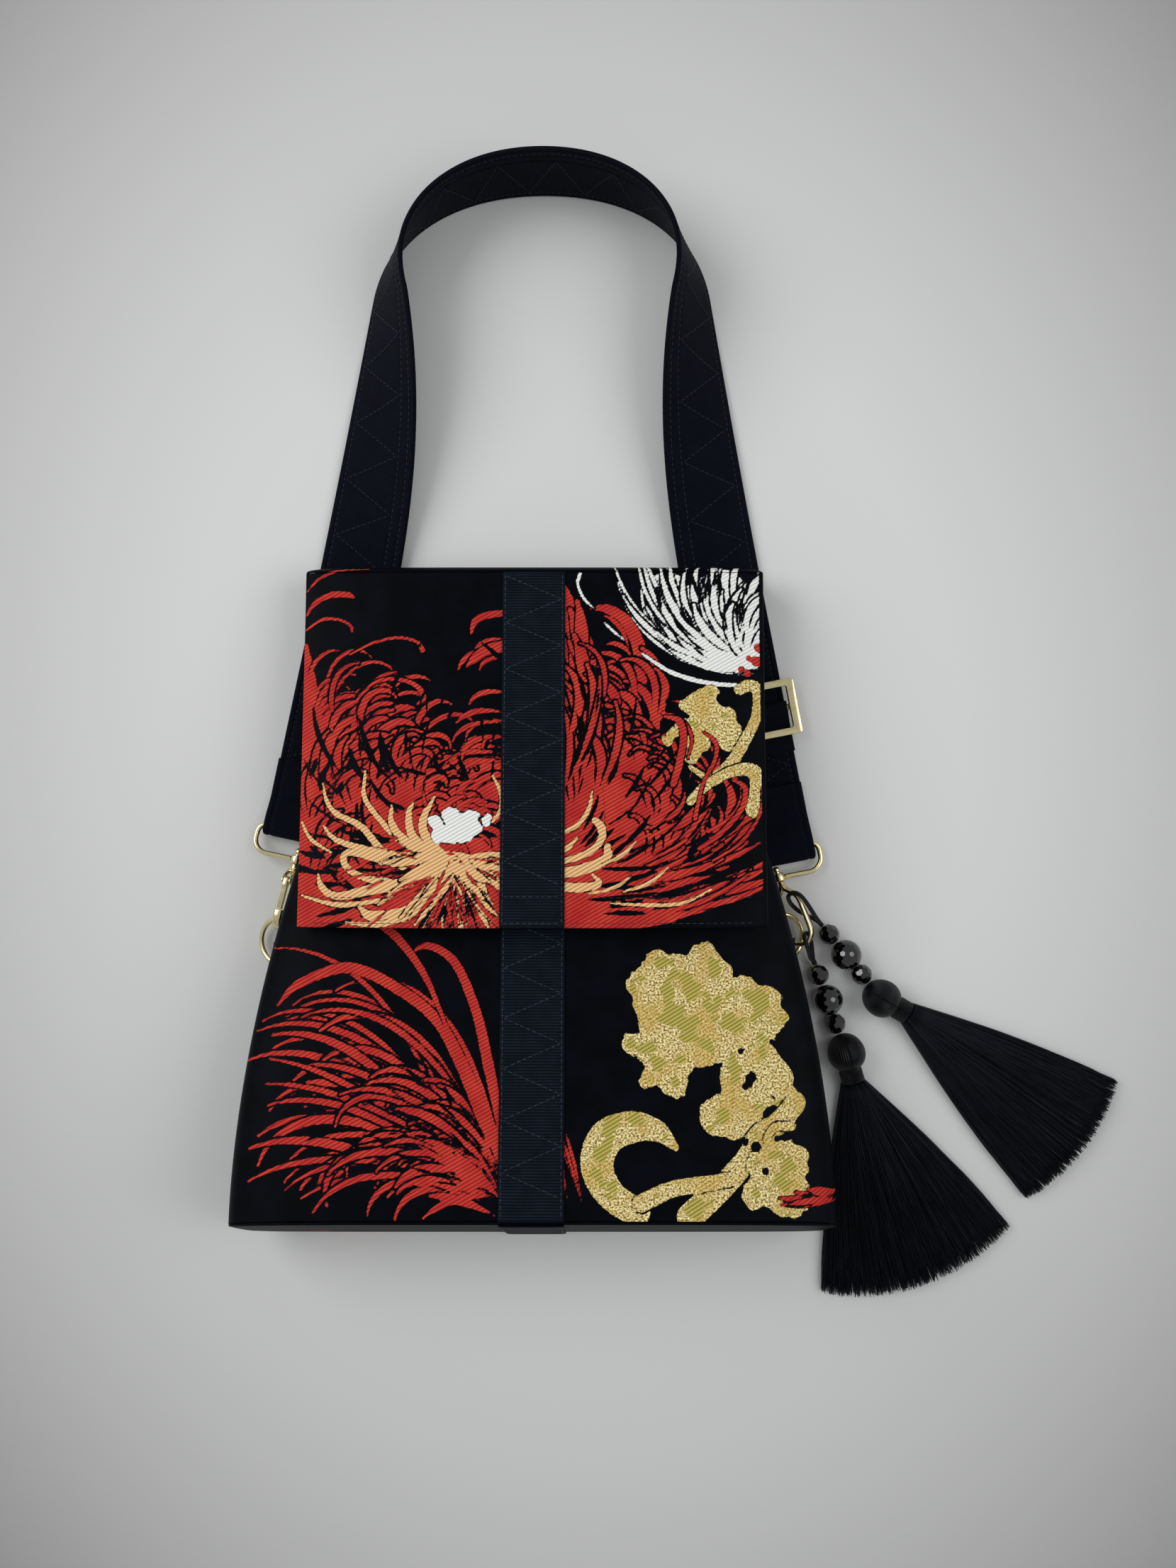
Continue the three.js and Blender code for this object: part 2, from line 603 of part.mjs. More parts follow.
/** The frame of a strap's end: X along the leg towards the end, Y across it, the origin on the ground. */
function strapEndFrame(outerCorner, heading, side) {
  const across = new THREE.Vector3(-heading.y, heading.x, 0).multiplyScalar(side);
  const middle = outerCorner.clone().addScaledVector(across, STRAP_WIDTH / 2);
  return frameOf(middle, heading, new THREE.Vector3(-heading.y, heading.x, 0));
}
const leftEndFrame = strapEndFrame(strap.leftEnd, strap.up.clone().negate(), 1);
const rightEndFrame = strapEndFrame(strap.rightEnd, strap.down, -1);

/** The strap's end turned back over the ring's bar and sewn down on itself. */
function strapLoop(frame, pocket) {
  const outline = new THREE.Shape();
  const layered = WEBBING + CLEARANCE;
  const rampStart = -pocket - loopInner;
  const rampEnd = rampStart - RETURN_RAMP;
  outline.moveTo(-pocket - 4, 0);
  outline.lineTo(-loopOuter, 0);
  outline.absarc(-loopOuter, loopOuter, loopOuter, -Math.PI / 2, Math.PI / 2);
  outline.lineTo(rampStart, 2 * loopOuter);
  outline.lineTo(rampEnd, layered + WEBBING);
  outline.lineTo(-RETURN_LENGTH, layered + WEBBING);
  outline.lineTo(-RETURN_LENGTH, layered);
  outline.lineTo(rampEnd, layered);
  outline.lineTo(rampStart, WEBBING + 2 * loopInner);
  outline.lineTo(-loopOuter, WEBBING + 2 * loopInner);
  outline.absarc(-loopOuter, loopOuter, loopInner, Math.PI / 2, -Math.PI / 2, true);
  outline.lineTo(-pocket - 4, WEBBING);
  outline.closePath();
  return plate(outline, STRAP_WIDTH, 0, 6).rotateX(Math.PI / 2).applyMatrix4(frame);
}

addPiece('strap_webbing', join(strapStrip(), strapLoop(leftEndFrame, LEFT_POCKET),
  strapLoop(rightEndFrame, RIGHT_POCKET)), COLOURS.strap);

// Slider on the right leg

const sliderFrame = rightEndFrame.clone()
  .multiply(new THREE.Matrix4().makeTranslation(-SLIDER_FROM_END, 0, 0));
const wrapLow = WEBBING + CLEARANCE;
const middleBarLow = wrapLow + WRAP_WEBBING + CLEARANCE;
const wrapFlat = wrapLow + 2 * WRAP_WEBBING + CLEARANCE;
const wrapOverBar = middleBarLow + MIDDLE_BAR_THICKNESS + CLEARANCE + WRAP_WEBBING;
const sliderLow = wrapFlat + CLEARANCE;

function slider() {
  const outline = roundedRectangle(new THREE.Shape(), 0, 0, SLIDER_LENGTH, SLIDER_WIDTH, SLIDER_CORNER);
  outline.holes.push(roundedRectangle(new THREE.Path(), 0, 0, SLIDER_LENGTH - 2 * SLIDER_END_BAR,
    SLIDER_WIDTH - 2 * SLIDER_RAIL, SLIDER_CORNER / 2));
  const frame = plate(outline, SLIDER_THICKNESS, 0.4, 2).translate(0, 0, sliderLow + SLIDER_THICKNESS / 2);
  const bar = new THREE.BoxGeometry(MIDDLE_BAR, SLIDER_WIDTH - SLIDER_RAIL, MIDDLE_BAR_THICKNESS)
    .translate(0, 0, middleBarLow + MIDDLE_BAR_THICKNESS / 2);
  const postHeight = sliderLow + SLIDER_THICKNESS / 2 - middleBarLow;
  const posts = [-1, 1].map((side) => new THREE.BoxGeometry(MIDDLE_BAR, SLIDER_RAIL - 1, postHeight)
    .translate(0, side * (SLIDER_WIDTH - SLIDER_RAIL) / 2, middleBarLow + postHeight / 2));
  return join(frame, bar, ...posts).applyMatrix4(sliderFrame);
}
addPiece('slider', slider(), COLOURS.gold, 0.25, 1);

/** The strap's sewn end: a hairpin of thin webbing round the middle bar. */
function sliderWrap() {
  const reach = MIDDLE_BAR / 2 + CLEARANCE;
  const slope = reach + 5;
  const outline = new THREE.Shape();
  outline.moveTo(WRAP_LENGTH, wrapLow);
  outline.lineTo(WRAP_LENGTH, wrapLow + WRAP_WEBBING);
  outline.lineTo(-reach, wrapLow + WRAP_WEBBING);
  outline.lineTo(-reach, wrapOverBar - WRAP_WEBBING);
  outline.lineTo(reach, wrapOverBar - WRAP_WEBBING);
  outline.lineTo(slope, wrapFlat - WRAP_WEBBING);
  outline.lineTo(WRAP_LENGTH, wrapFlat - WRAP_WEBBING);
  outline.lineTo(WRAP_LENGTH, wrapFlat);
  outline.lineTo(slope, wrapFlat);
  outline.lineTo(reach, wrapOverBar);
  outline.lineTo(-reach, wrapOverBar);
  outline.lineTo(-reach - WRAP_WEBBING, wrapOverBar - WRAP_WEBBING);
  outline.lineTo(-reach - WRAP_WEBBING, wrapLow);
  outline.closePath();
  return plate(outline, STRAP_WIDTH).rotateX(Math.PI / 2).applyMatrix4(sliderFrame);
}
addPiece('slider_wrap', sliderWrap(), COLOURS.strap);

// Rings with swivel barrels, and the snap hooks that turn in them

/** The frame at a ring's inner bar: X along the leg towards the hook. */
const ringFrame = (endFrame, pocket, tilt, shift) => endFrame.clone()
  .multiply(new THREE.Matrix4().makeTranslation(-pocket, shift, loopOuter))
  .multiply(new THREE.Matrix4().makeRotationY(-radians(tilt)));

/** The hook's frame at the barrel: X towards the tip, Y across the claw. */
function hookFrame(origin, { heading, rise, roll }) {
  const [flat, tilt] = [radians(heading), radians(rise)];
  const along = new THREE.Vector3(Math.sin(flat), Math.cos(flat), 0).multiplyScalar(Math.cos(tilt))
    .setZ(Math.sin(tilt));
  const level = new THREE.Vector3(-Math.cos(flat), Math.sin(flat), 0);
  const across = level.applyAxisAngle(along, radians(roll));
  return frameOf(origin, along, across);
}

/** The oblong ring's centre line, with its strap-side bar on X = 0. */
function ringCurve() {
  const [half, inner, outer] = [RING_LENGTH / 2, RING_STRAP_CORNER, RING_CORNER];
  const outline = new THREE.Path();
  outline.moveTo(inner, -half);
  outline.lineTo(RING_DEPTH - outer, -half);
  outline.absarc(RING_DEPTH - outer, outer - half, outer, -Math.PI / 2, 0);
  outline.lineTo(RING_DEPTH, half - outer);
  outline.absarc(RING_DEPTH - outer, half - outer, outer, 0, Math.PI / 2);
  outline.lineTo(inner, half);
  outline.absarc(inner, half - inner, inner, Math.PI / 2, Math.PI);
  outline.lineTo(0, inner - half);
  outline.absarc(inner, inner - half, inner, Math.PI, 1.5 * Math.PI);
  return outline;
}

/** A flat path as a curve in space. */
class FlatCurve extends THREE.Curve {
  constructor(path) {
    super();
    this.path = path;
  }

  getPoint(t, target = new THREE.Vector3()) {
    const point = this.path.getPointAt(t);
    return target.set(point.x, point.y, 0);
  }
}

/** A closed wire as a ring of round sections. */
function closedWire(curve, diameter, steps, sides) {
  const frames = curve.computeFrenetFrames(steps, true);
  return wall((u, v, side) => {
    const k = Math.round(u * steps) % steps;
    const centre = curve.getPointAt(k / steps);
    const angle = Math.PI * v * (side === 0 ? 1 : -1);
    return centre.addScaledVector(frames.normals[k], diameter / 2 * Math.cos(angle))
      .addScaledVector(frames.binormals[k], diameter / 2 * Math.sin(angle)).toArray();
  }, steps, sides / 2, true);
}

const barrelBore = STEM_RADIUS + CLEARANCE;

function ring(frame, hook) {
  const toHook = hook.clone();
  const barrel = disc(BARREL_RADIUS, BARREL_LENGTH).rotateZ(Math.PI / 2).applyMatrix4(toHook);
  const bore = disc(barrelBore, 3 * BARREL_LENGTH, 12).rotateZ(Math.PI / 2).applyMatrix4(toHook);
  return cut(join(closedWire(new FlatCurve(ringCurve()), WIRE, 36, 8).applyMatrix4(frame), barrel), bore);
}

/** The claw's outline: a neck that opens to an oval, by an inset from its outer edge. */
function clawOutline(target, inset, start) {
  const half = HOOK_HALF_WIDTH - inset;
  const tipCentre = HOOK_LENGTH - HOOK_HALF_WIDTH * 1.15;
  const tipLength = HOOK_LENGTH - inset - tipCentre;
  const neck = Math.max(HOOK_NECK / 2 - inset, 0.8);
  target.moveTo(start, -neck);
  target.quadraticCurveTo(mix(start, HOOK_SHOULDER, 0.7), -neck, HOOK_SHOULDER + inset, -half);
  target.lineTo(tipCentre, -half);
  target.absellipse(tipCentre, 0, tipLength, half, -Math.PI / 2, Math.PI / 2);
  target.lineTo(HOOK_SHOULDER + inset, half);
  target.quadraticCurveTo(mix(start, HOOK_SHOULDER, 0.7), neck, start, neck);
  target.closePath();
  return target;
}

const windowStart = 8;
const gateSide = -1; // the gate is on the arm that faces the bag
const gateMiddle = gateSide * (HOOK_HALF_WIDTH - HOOK_ARM / 2);

function hookBody(frame) {
  const outline = clawOutline(new THREE.Shape(), 0, BARREL_LENGTH / 2 + CLEARANCE);
  outline.holes.push(clawOutline(new THREE.Path(), HOOK_ARM, windowStart));
  const claw = plate(outline, HOOK_THICKNESS, HOOK_BEVEL, 6);
  const stem = disc(STEM_RADIUS, BARREL_LENGTH + 6, 12).rotateZ(Math.PI / 2)
    .translate(BARREL_LENGTH / 2 - 1.4, 0, 0);
  const head = new THREE.SphereGeometry(STEM_HEAD_RADIUS, 12, 8)
    .translate(-BARREL_LENGTH / 2 - CLEARANCE - STEM_HEAD_RADIUS, 0, 0);
  const slot = new THREE.BoxGeometry(GATE_END - GATE_START + 2 * CLEARANCE, HOOK_ARM + 2, HOOK_THICKNESS + 2)
    .translate((GATE_END + GATE_START) / 2, gateMiddle, 0);
  const fork = new THREE.BoxGeometry(6, HOOK_ARM + 5, GATE_THICKNESS + 2 * CLEARANCE)
    .translate(GATE_START - 3 + CLEARANCE, gateMiddle, 0);
  const pinHole = disc(GATE_PIN_RADIUS + CLEARANCE, 2 * HOOK_THICKNESS, 12).rotateX(Math.PI / 2)
    .translate(GATE_START - 2, gateMiddle, 0);
  return cut(join(claw, stem, head), slot, fork, pinHole).applyMatrix4(frame);
}

/** The gate: a flat finger on a pin, with a thumb nib outside. */
function gate(frame) {
  const pin = GATE_START - 2;
  const half = 1.1;
  const outline = new THREE.Shape();
  outline.absarc(pin, gateMiddle, 1.9, Math.PI / 2, 1.5 * Math.PI);
  outline.lineTo(pin + 2.5, gateMiddle - 1.9);
  outline.lineTo(pin + 5, gateMiddle - half);
  outline.lineTo(GATE_END, gateMiddle - half);
  outline.lineTo(GATE_END, gateMiddle + half);
  outline.lineTo(pin + 4, gateMiddle + half);
  outline.closePath();
  const pinHole = new THREE.Path().absarc(pin, gateMiddle, GATE_PIN_RADIUS + CLEARANCE, 0, 2 * Math.PI, true);
  outline.holes.push(pinHole);
  return plate(outline, GATE_THICKNESS, 0, 5).applyMatrix4(frame);
}

const gatePin = (frame) => disc(GATE_PIN_RADIUS, HOOK_THICKNESS, 12).rotateX(Math.PI / 2)
  .translate(GATE_START - 2, gateMiddle, 0).applyMatrix4(frame);

for (const [side, endFrame, pocket, pose] of [
  ['left', leftEndFrame, LEFT_POCKET, LEFT_HOOK], ['right', rightEndFrame, RIGHT_POCKET, RIGHT_HOOK]]) {
  const bar = ringFrame(endFrame, pocket, RING_TILT[side], RING_SHIFT[side]);
  const centre = new THREE.Vector3(RING_DEPTH, 0, 0).applyMatrix4(bar);
  const hook = hookFrame(centre, pose);
  addPiece(`ring_${side}`, ring(bar, hook), COLOURS.gold, 0.25, 1);
  addPiece(`hook_${side}`, hookBody(hook), COLOURS.gold, 0.25, 1);
  addPiece(`gate_${side}`, gate(hook), COLOURS.gold, 0.25, 1);
  addPiece(`gate_pin_${side}`, gatePin(hook), COLOURS.gold, 0.25, 1);
}

// D-rings on tabs in the side seams

const dringRadius = (DRING_INNER + DRING_WIRE) / 2;

/** The D-ring's centre line: a straight bar on X = 0, two legs and a half circle. */
function dringCurve() {
  const corner = DRING_WIRE;
  const outline = new THREE.Path();
  outline.moveTo(corner, -dringRadius);
  outline.lineTo(DRING_LEG, -dringRadius);
  outline.absarc(DRING_LEG, 0, dringRadius, -Math.PI / 2, Math.PI / 2);
  outline.lineTo(corner, dringRadius);
  outline.absarc(corner, dringRadius - corner, corner, Math.PI / 2, Math.PI);
  outline.lineTo(0, corner - dringRadius);
  outline.absarc(corner, corner - dringRadius, corner, Math.PI, 1.5 * Math.PI);
  return new FlatCurve(outline);
}

const sideLength = FOLD_Y - (BASE_FRONT_Y + BASE_BACK_Y) / 2; // along the side seams

for (const [side, [barX, barY], sign] of [['left', LEFT_DRING, -1], ['right', RIGHT_DRING, 1]]) {
  const sag = radians(DRING_SAG_ANGLE);
  const out = new THREE.Vector3(sign * Math.cos(sag), 0, -Math.sin(sag));
  const frame = frameOf(new THREE.Vector3(barX, barY, DRING_BAR_Z), out, new THREE.Vector3(0, sign, 0));
  const dring = closedWire(dringCurve(), DRING_WIRE, 30, 8).applyMatrix4(frame);
  addPiece(`dring_${side}`, dring, COLOURS.gold, 0.25, 1);

  const s = section((FOLD_Y - barY - TAB_OFFSET) / sideLength);
  const topZ = s.seam - TAB_BELOW_SEAM;
  const share = TAB_BELOW_SEAM / (s.seam - s.back);
  const surfaceX = s.half * (1 - share ** s.backSquareness) ** (1 / s.backSquareness);
  const top = [surfaceX + TAB_STAND_OFF + TAB_THICKNESS, topZ];
  const bar = [Math.abs(barX), DRING_BAR_Z];
  const bore = DRING_WIRE / 2 + CLEARANCE;
  const lean = Math.atan2(top[1] - bar[1], top[0] - bar[0]);
  const length = Math.hypot(top[0] - bar[0], top[1] - bar[1]);
  const outline = new THREE.Shape();
  const spread = Math.asin(TAB_THICKNESS / (bore + TAB_THICKNESS));
  outline.absarc(0, 0, bore + TAB_THICKNESS, spread, 2 * Math.PI - spread);
  outline.lineTo(length, -TAB_THICKNESS);
  outline.lineTo(length, TAB_THICKNESS);
  outline.closePath();
  outline.holes.push(new THREE.Path().absarc(0, 0, bore, 0, 2 * Math.PI, true));
  const tab = plate(outline, 2 * TAB_HALF_LENGTH, 0, 8).rotateZ(lean).rotateX(Math.PI / 2);
  if (sign < 0) tab.scale(-1, 1, 1);
  addPiece(`tab_${side}`, tab.translate(barX, barY + TAB_OFFSET, DRING_BAR_Z), COLOURS.ribbon);
}

// Charms: a cord loop through the right hook, three beads, a ball head, a wrapped neck and a skirt

/** Beads rest on the ground and touch each other: each stands back from the last by the sum of their radii. */
function charmPlaces({ head, heading }) {
  const back = new THREE.Vector2(-Math.sin(radians(heading)), -Math.cos(radians(heading)));
  const places = [{ radius: HEAD_RADIUS, at: new THREE.Vector2(...head) }];
  for (const radius of [BEAD_SMALL, BEAD_LARGE, BEAD_SMALL]) {
    const last = places[places.length - 1];
    const reach = Math.sqrt((radius + last.radius + CLEARANCE) ** 2 - (radius - last.radius) ** 2);
    places.push({ radius, at: last.at.clone().addScaledVector(back, reach) });
  }
  return places;
}

const bead = (radius, detail) => new THREE.IcosahedronGeometry(radius, detail);

/** A flat fan of silk that spreads from the neck's end to an arc round the same point. */
function skirt(charm, start) {
  return wall((u, v, side) => {
    const swing = u - 0.5;
    const flat = radians(charm.fanHeading + swing * charm.fanSpread);
    const neck = radians(charm.neckHeading);
    const width = 2 * swing * NECK_RADIUS * 0.85 * (1 - v);
    const crown = Math.sqrt(1 - (1.9 * swing) ** 2);
    const height = mix(NECK_RADIUS * 1.7, FAN_HEIGHT, Math.sqrt(v)) * mix(0.25, 1, crown);
    return [
      start.x - Math.cos(neck) * width + charm.fanLength * v * Math.sin(flat),
      start.y + Math.sin(neck) * width + charm.fanLength * v * Math.cos(flat),
      side === 0 ? GROUND_GAP + height : GROUND_GAP,
    ];
  }, 12, 5);
}

for (const [letter, charm] of [['a', CHARM_A], ['b', CHARM_B]]) {
  const places = charmPlaces(charm);
  for (const [n, { radius, at }] of [places[3], places[2], places[1]].entries()) {
    const shape = bead(radius, n === 1 ? 2 : 1).translate(at.x, at.y, radius);
    addPiece(`bead_${letter}${n + 1}`, shape, COLOURS.bead, 0.08);
  }
  const head = places[0];
  const ball = new THREE.SphereGeometry(HEAD_RADIUS, 16, 10).translate(head.at.x, head.at.y, HEAD_RADIUS);
  addPiece(`head_${letter}`, ball, COLOURS.silk, 0.5);

  const flat = radians(charm.neckHeading);
  const skirtAlong = new THREE.Vector3(Math.sin(flat), Math.cos(flat), 0);
  const neckCentre = new THREE.Vector3(head.at.x, head.at.y, NECK_RADIUS)
    .addScaledVector(skirtAlong, HEAD_RADIUS + CLEARANCE + NECK_LENGTH / 2);
  const neck = disc(NECK_RADIUS, NECK_LENGTH, 16).applyMatrix4(frameOf(neckCentre,
    new THREE.Vector3(0, 0, 1), new THREE.Vector3(-skirtAlong.x, -skirtAlong.y, 0)));
  addPiece(`neck_${letter}`, neck, COLOURS.silk, 0.5);
  addPiece(`skirt_${letter}`, skirt(charm, neckCentre.clone()
    .addScaledVector(skirtAlong, NECK_LENGTH / 2 + CLEARANCE)), COLOURS.silk, 0.5);

  const route = charm.cord.map((point) => new THREE.Vector3(...point));
  const curve = new THREE.CatmullRomCurve3(route, false, 'centripetal');
  addPiece(`cord_${letter}`, wire(curve, CORD, 20, 8), COLOURS.silk, 0.6);
}

export default group;
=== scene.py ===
"""A fold-over shoulder bag of silk brocade, lying on its back with its strap and two tassel charms.

Shapes are worked out in millimetres, in the frame's own axes: +Z up out of the front, +Y towards the strap.
put_mesh turns them into metres.
"""

import math

import bmesh
import bpy
import numpy as np
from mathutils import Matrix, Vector
from mathutils.geometry import tessellate_polygon


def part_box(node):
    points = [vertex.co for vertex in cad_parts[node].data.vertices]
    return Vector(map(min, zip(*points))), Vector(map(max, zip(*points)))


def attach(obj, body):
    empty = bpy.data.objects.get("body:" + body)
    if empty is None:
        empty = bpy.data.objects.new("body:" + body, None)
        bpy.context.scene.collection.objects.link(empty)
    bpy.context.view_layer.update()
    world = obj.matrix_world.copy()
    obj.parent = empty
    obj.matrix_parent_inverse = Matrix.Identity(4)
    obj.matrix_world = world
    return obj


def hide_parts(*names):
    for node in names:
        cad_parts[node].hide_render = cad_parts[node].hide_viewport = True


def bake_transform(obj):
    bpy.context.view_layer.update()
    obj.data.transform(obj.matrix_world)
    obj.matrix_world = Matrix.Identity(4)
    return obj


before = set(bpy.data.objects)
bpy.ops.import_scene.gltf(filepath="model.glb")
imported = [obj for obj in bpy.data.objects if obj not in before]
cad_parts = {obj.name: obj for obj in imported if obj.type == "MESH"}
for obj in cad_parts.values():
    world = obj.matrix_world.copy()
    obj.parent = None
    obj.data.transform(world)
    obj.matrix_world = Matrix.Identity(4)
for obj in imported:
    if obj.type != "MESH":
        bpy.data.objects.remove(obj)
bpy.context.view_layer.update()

MM = 0.001
CLEARANCE = 0.3
X_AXIS = np.array([1.0, 0.0, 0.0])
Z_AXIS = np.array([0.0, 0.0, 1.0])

# Body: a boxed sack that lies on its back
CLOTH = 1.2
LINING = 0.6
RIBBON_WIDTH = 30.0
RIBBON_THICKNESS = 0.8
FOLD_Y = 165.0
FOLD_FRONT_Z = 16.0
FOLD_BACK_Z = 5.5
SLEEVE_HALF_WIDTH = 111.0
BASE_HALF_WIDTH = 143.0
BASE_FRONT_Y = -138.0
BASE_BACK_Y = -164.0
BASE_DEPTH = 67.0
BACK_LIFT = 8.5
LIFT_START_Y = 32.0
LIFT_END_Y = 75.0
SETTLE_START_Y = 118.0
FOLD_FLATNESS = 0.3  # flatter than the solid's roll, as photographed
ROLL_CORNER = 4.0  # how far the roll draws in at its two ends
SWELL_START = 0.42
SWELL_POWER = 1.8
WEDGE_POWER = 1.1
FRONT_SQUARENESS = 4.0
BACK_SQUARENESS_TOP = 2.2
BACK_SQUARENESS_BASE = 6.0
SQUARING_START = 0.6
SWOLLEN_SHARE = 0.8  # where the columns of the body's cloth are evenly spaced
BACK_REST = RIBBON_THICKNESS + CLEARANCE
BODY_LENGTH = FOLD_Y - BASE_FRONT_Y
SIDE_LENGTH = FOLD_Y - (BASE_FRONT_Y + BASE_BACK_Y) / 2

# Flap: the sleeve, folded forward
FLAP_START_Y = 162.0
FLAP_END_Y = -6.5  # the photographed mouth; the solid's ends at 0
FLAP_MOUTH_HALF_WIDTH = 110.0
FLAP_THICKNESS = 10.0
FLAP_GAP = 0.9
FLAP_DROOP_FOLD = 2.2
FLAP_DROOP_MOUTH = 4.5
FLAP_SQUARENESS = 5.0
HEM = 13.8
HEM_Y = FLAP_END_Y + HEM
FLAP_MIDDLE_Y = 60.0
PLAIN_EDGE = 2.4  # at the flap's right edge, where nothing is woven

# Strap
STRAP_WIDTH = 40.0
WEBBING = 2.8
LEG_TOP_Y = 302.0
LEFT_LEG_END = (-136.8, 35.0)
RIGHT_LEG_END = (139.9, 22.9)
LEFT_LEG_TOP_X = -80.0
RIGHT_LEG_TOP_X = 85.5
ARCH_TOP = (4.5, 355.5)
LEG_HANDLE = 35.0
ARCH_HANDLE = 45.0
TWIST_START_Y = 150.0
TWIST_END_ANGLE = 96.0
TWIST_POWER = 1.6
RETURN_LENGTH = 39.0
RETURN_RAMP = 14.0
LEFT_POCKET = 5.4
RIGHT_POCKET = 8.4

# Hardware
WIRE = 2.6
RING_LENGTH = 45.0
RING_DEPTH = 14.4
RING_CORNER = 7.0
RING_STRAP_CORNER = 4.8
BARREL_RADIUS = 2.9
BARREL_LENGTH = 4.0
STEM_RADIUS = 1.3
STEM_HEAD_RADIUS = 1.7
HOOK_LENGTH = 36.0
HOOK_HALF_WIDTH = 7.4
HOOK_ARM = 2.5
HOOK_THICKNESS = 4.4
HOOK_NECK = 3.4
GATE_START = 12.5
GATE_END = 25.0
GATE_THICKNESS = 2.6
GATE_PIN_RADIUS = 0.9
DRING_INNER = 20.0
DRING_WIRE = 2.5
DRING_LEG = 4.8
DRING_SAG_ANGLE = 26.0
TAB_HALF_LENGTH = 4.6
TAB_OFFSET = -4.0
TAB_THICKNESS = 1.2
TAB_STAND_OFF = 1.2
TAB_BELOW_SEAM = 4.0
DRING_BAR_Z = 11.0
SLIDER_FROM_END = 77.0
SLIDER_WIDTH = 51.0
SLIDER_LENGTH = 28.0
SLIDER_RAIL = 4.5
SLIDER_END_BAR = 3.6
SLIDER_THICKNESS = 2.2
MIDDLE_BAR = 3.2
MIDDLE_BAR_THICKNESS = 1.6
WRAP_WEBBING = 1.2
WRAP_LENGTH = 22.0

# Charms
CORD = 2.2
NECK_LENGTH = 6.0
CHARMS = {
    "a": {
        "fan_heading": 160.5,
        "fan_spread": 57.0,
        "fan_length": 108.0,
        "route": (
            (139.2, -30.2, 6.5), (138.6, -28.3, 6.5), (136.9, -26.9, 8), (135.5, -23.8, 10.6),
            (134.5, -21.5, 12.8), (133.6, -19.2, 14.4), (132.8, -16.8, 14.4), (132.7, -14.7, 12.9),
            (133.8, -14, 10.4), (135.4, -14.5, 7.9), (136.6, -16.5, 6.9), (137.3, -19.4, 6.5),
            (137.7, -23.1, 6.4), (138.2, -26.4, 5.4), (138.6, -28.3, 3.9), (139.2, -30.2, 3.9),
        ),
    },
    "b": {
        "fan_heading": 127.5,
        "fan_spread": 40.0,
        "fan_length": 112.0,
        "route": (
            (142.9, -10.8, 6.5), (141.6, -9.3, 6.5), (138.8, -5.7, 8.5), (135.8, -1.2, 10.5),
            (133.1, 2.4, 12.2), (130.8, 4.9, 13.4), (128.6, 6.2, 13.5), (126.4, 6.1, 12.6),
            (125.1, 4.1, 11), (125.9, 1.8, 9.6), (127.5, -0.3, 8.2), (129.8, -2.4, 7.1),
            (132.3, -4.1, 5.8), (135.2, -5.6, 5.5), (138, -6.9, 5), (141.6, -9.3, 3.9), (142.9, -10.8, 3.9),
        ),
    },
}

# Camera: straight above the bag, with the strap at the top of the picture
CAMERA_PLACE = (25.9, 60.0, 650.0)
VIEW_HEIGHT = 790.0  # how much of the table the picture's long side takes in
SENSOR = 36.0

camera_data = bpy.data.cameras.new("camera")
camera_data.sensor_width = SENSOR
camera_data.lens = SENSOR * CAMERA_PLACE[2] / VIEW_HEIGHT
camera = bpy.data.objects.new("camera", camera_data)
camera.location = [MM * value for value in CAMERA_PLACE]
bpy.context.scene.collection.objects.link(camera)
bpy.context.scene.camera = camera
bpy.context.scene.view_settings.view_transform = "Standard"


# Mesh helpers


def mix(a, b, share):
    """The value a share of the way from a to b."""
    return a + (b - a) * share


def smooth(value, low, high):
    """An S-shaped step from 0 at low to 1 at high."""
    share = np.clip((value - low) / (high - low), 0, 1)
    return share * share * (3 - 2 * share)


def powered(value, power):
    """A power that keeps the value's sign."""
    return np.sign(value) * np.abs(value) ** power


def unit(vectors):
    """Vectors along the last axis, each divided by its length."""
    vectors = np.asarray(vectors, float)
    return vectors / np.linalg.norm(vectors, axis=-1, keepdims=True)


def grid_faces(rows, columns, ring_rows=False, ring_columns=False):
    """Quads over a grid whose points are numbered row by row."""
    i = np.arange(rows if ring_rows else rows - 1)[:, None]
    j = np.arange(columns if ring_columns else columns - 1)[None, :]
    below, beside = (i + 1) % rows, (j + 1) % columns
    corners = [i * columns + j, i * columns + beside, below * columns + beside, below * columns + j]
    return np.stack(np.broadcast_arrays(*corners), -1).reshape(-1, 4)


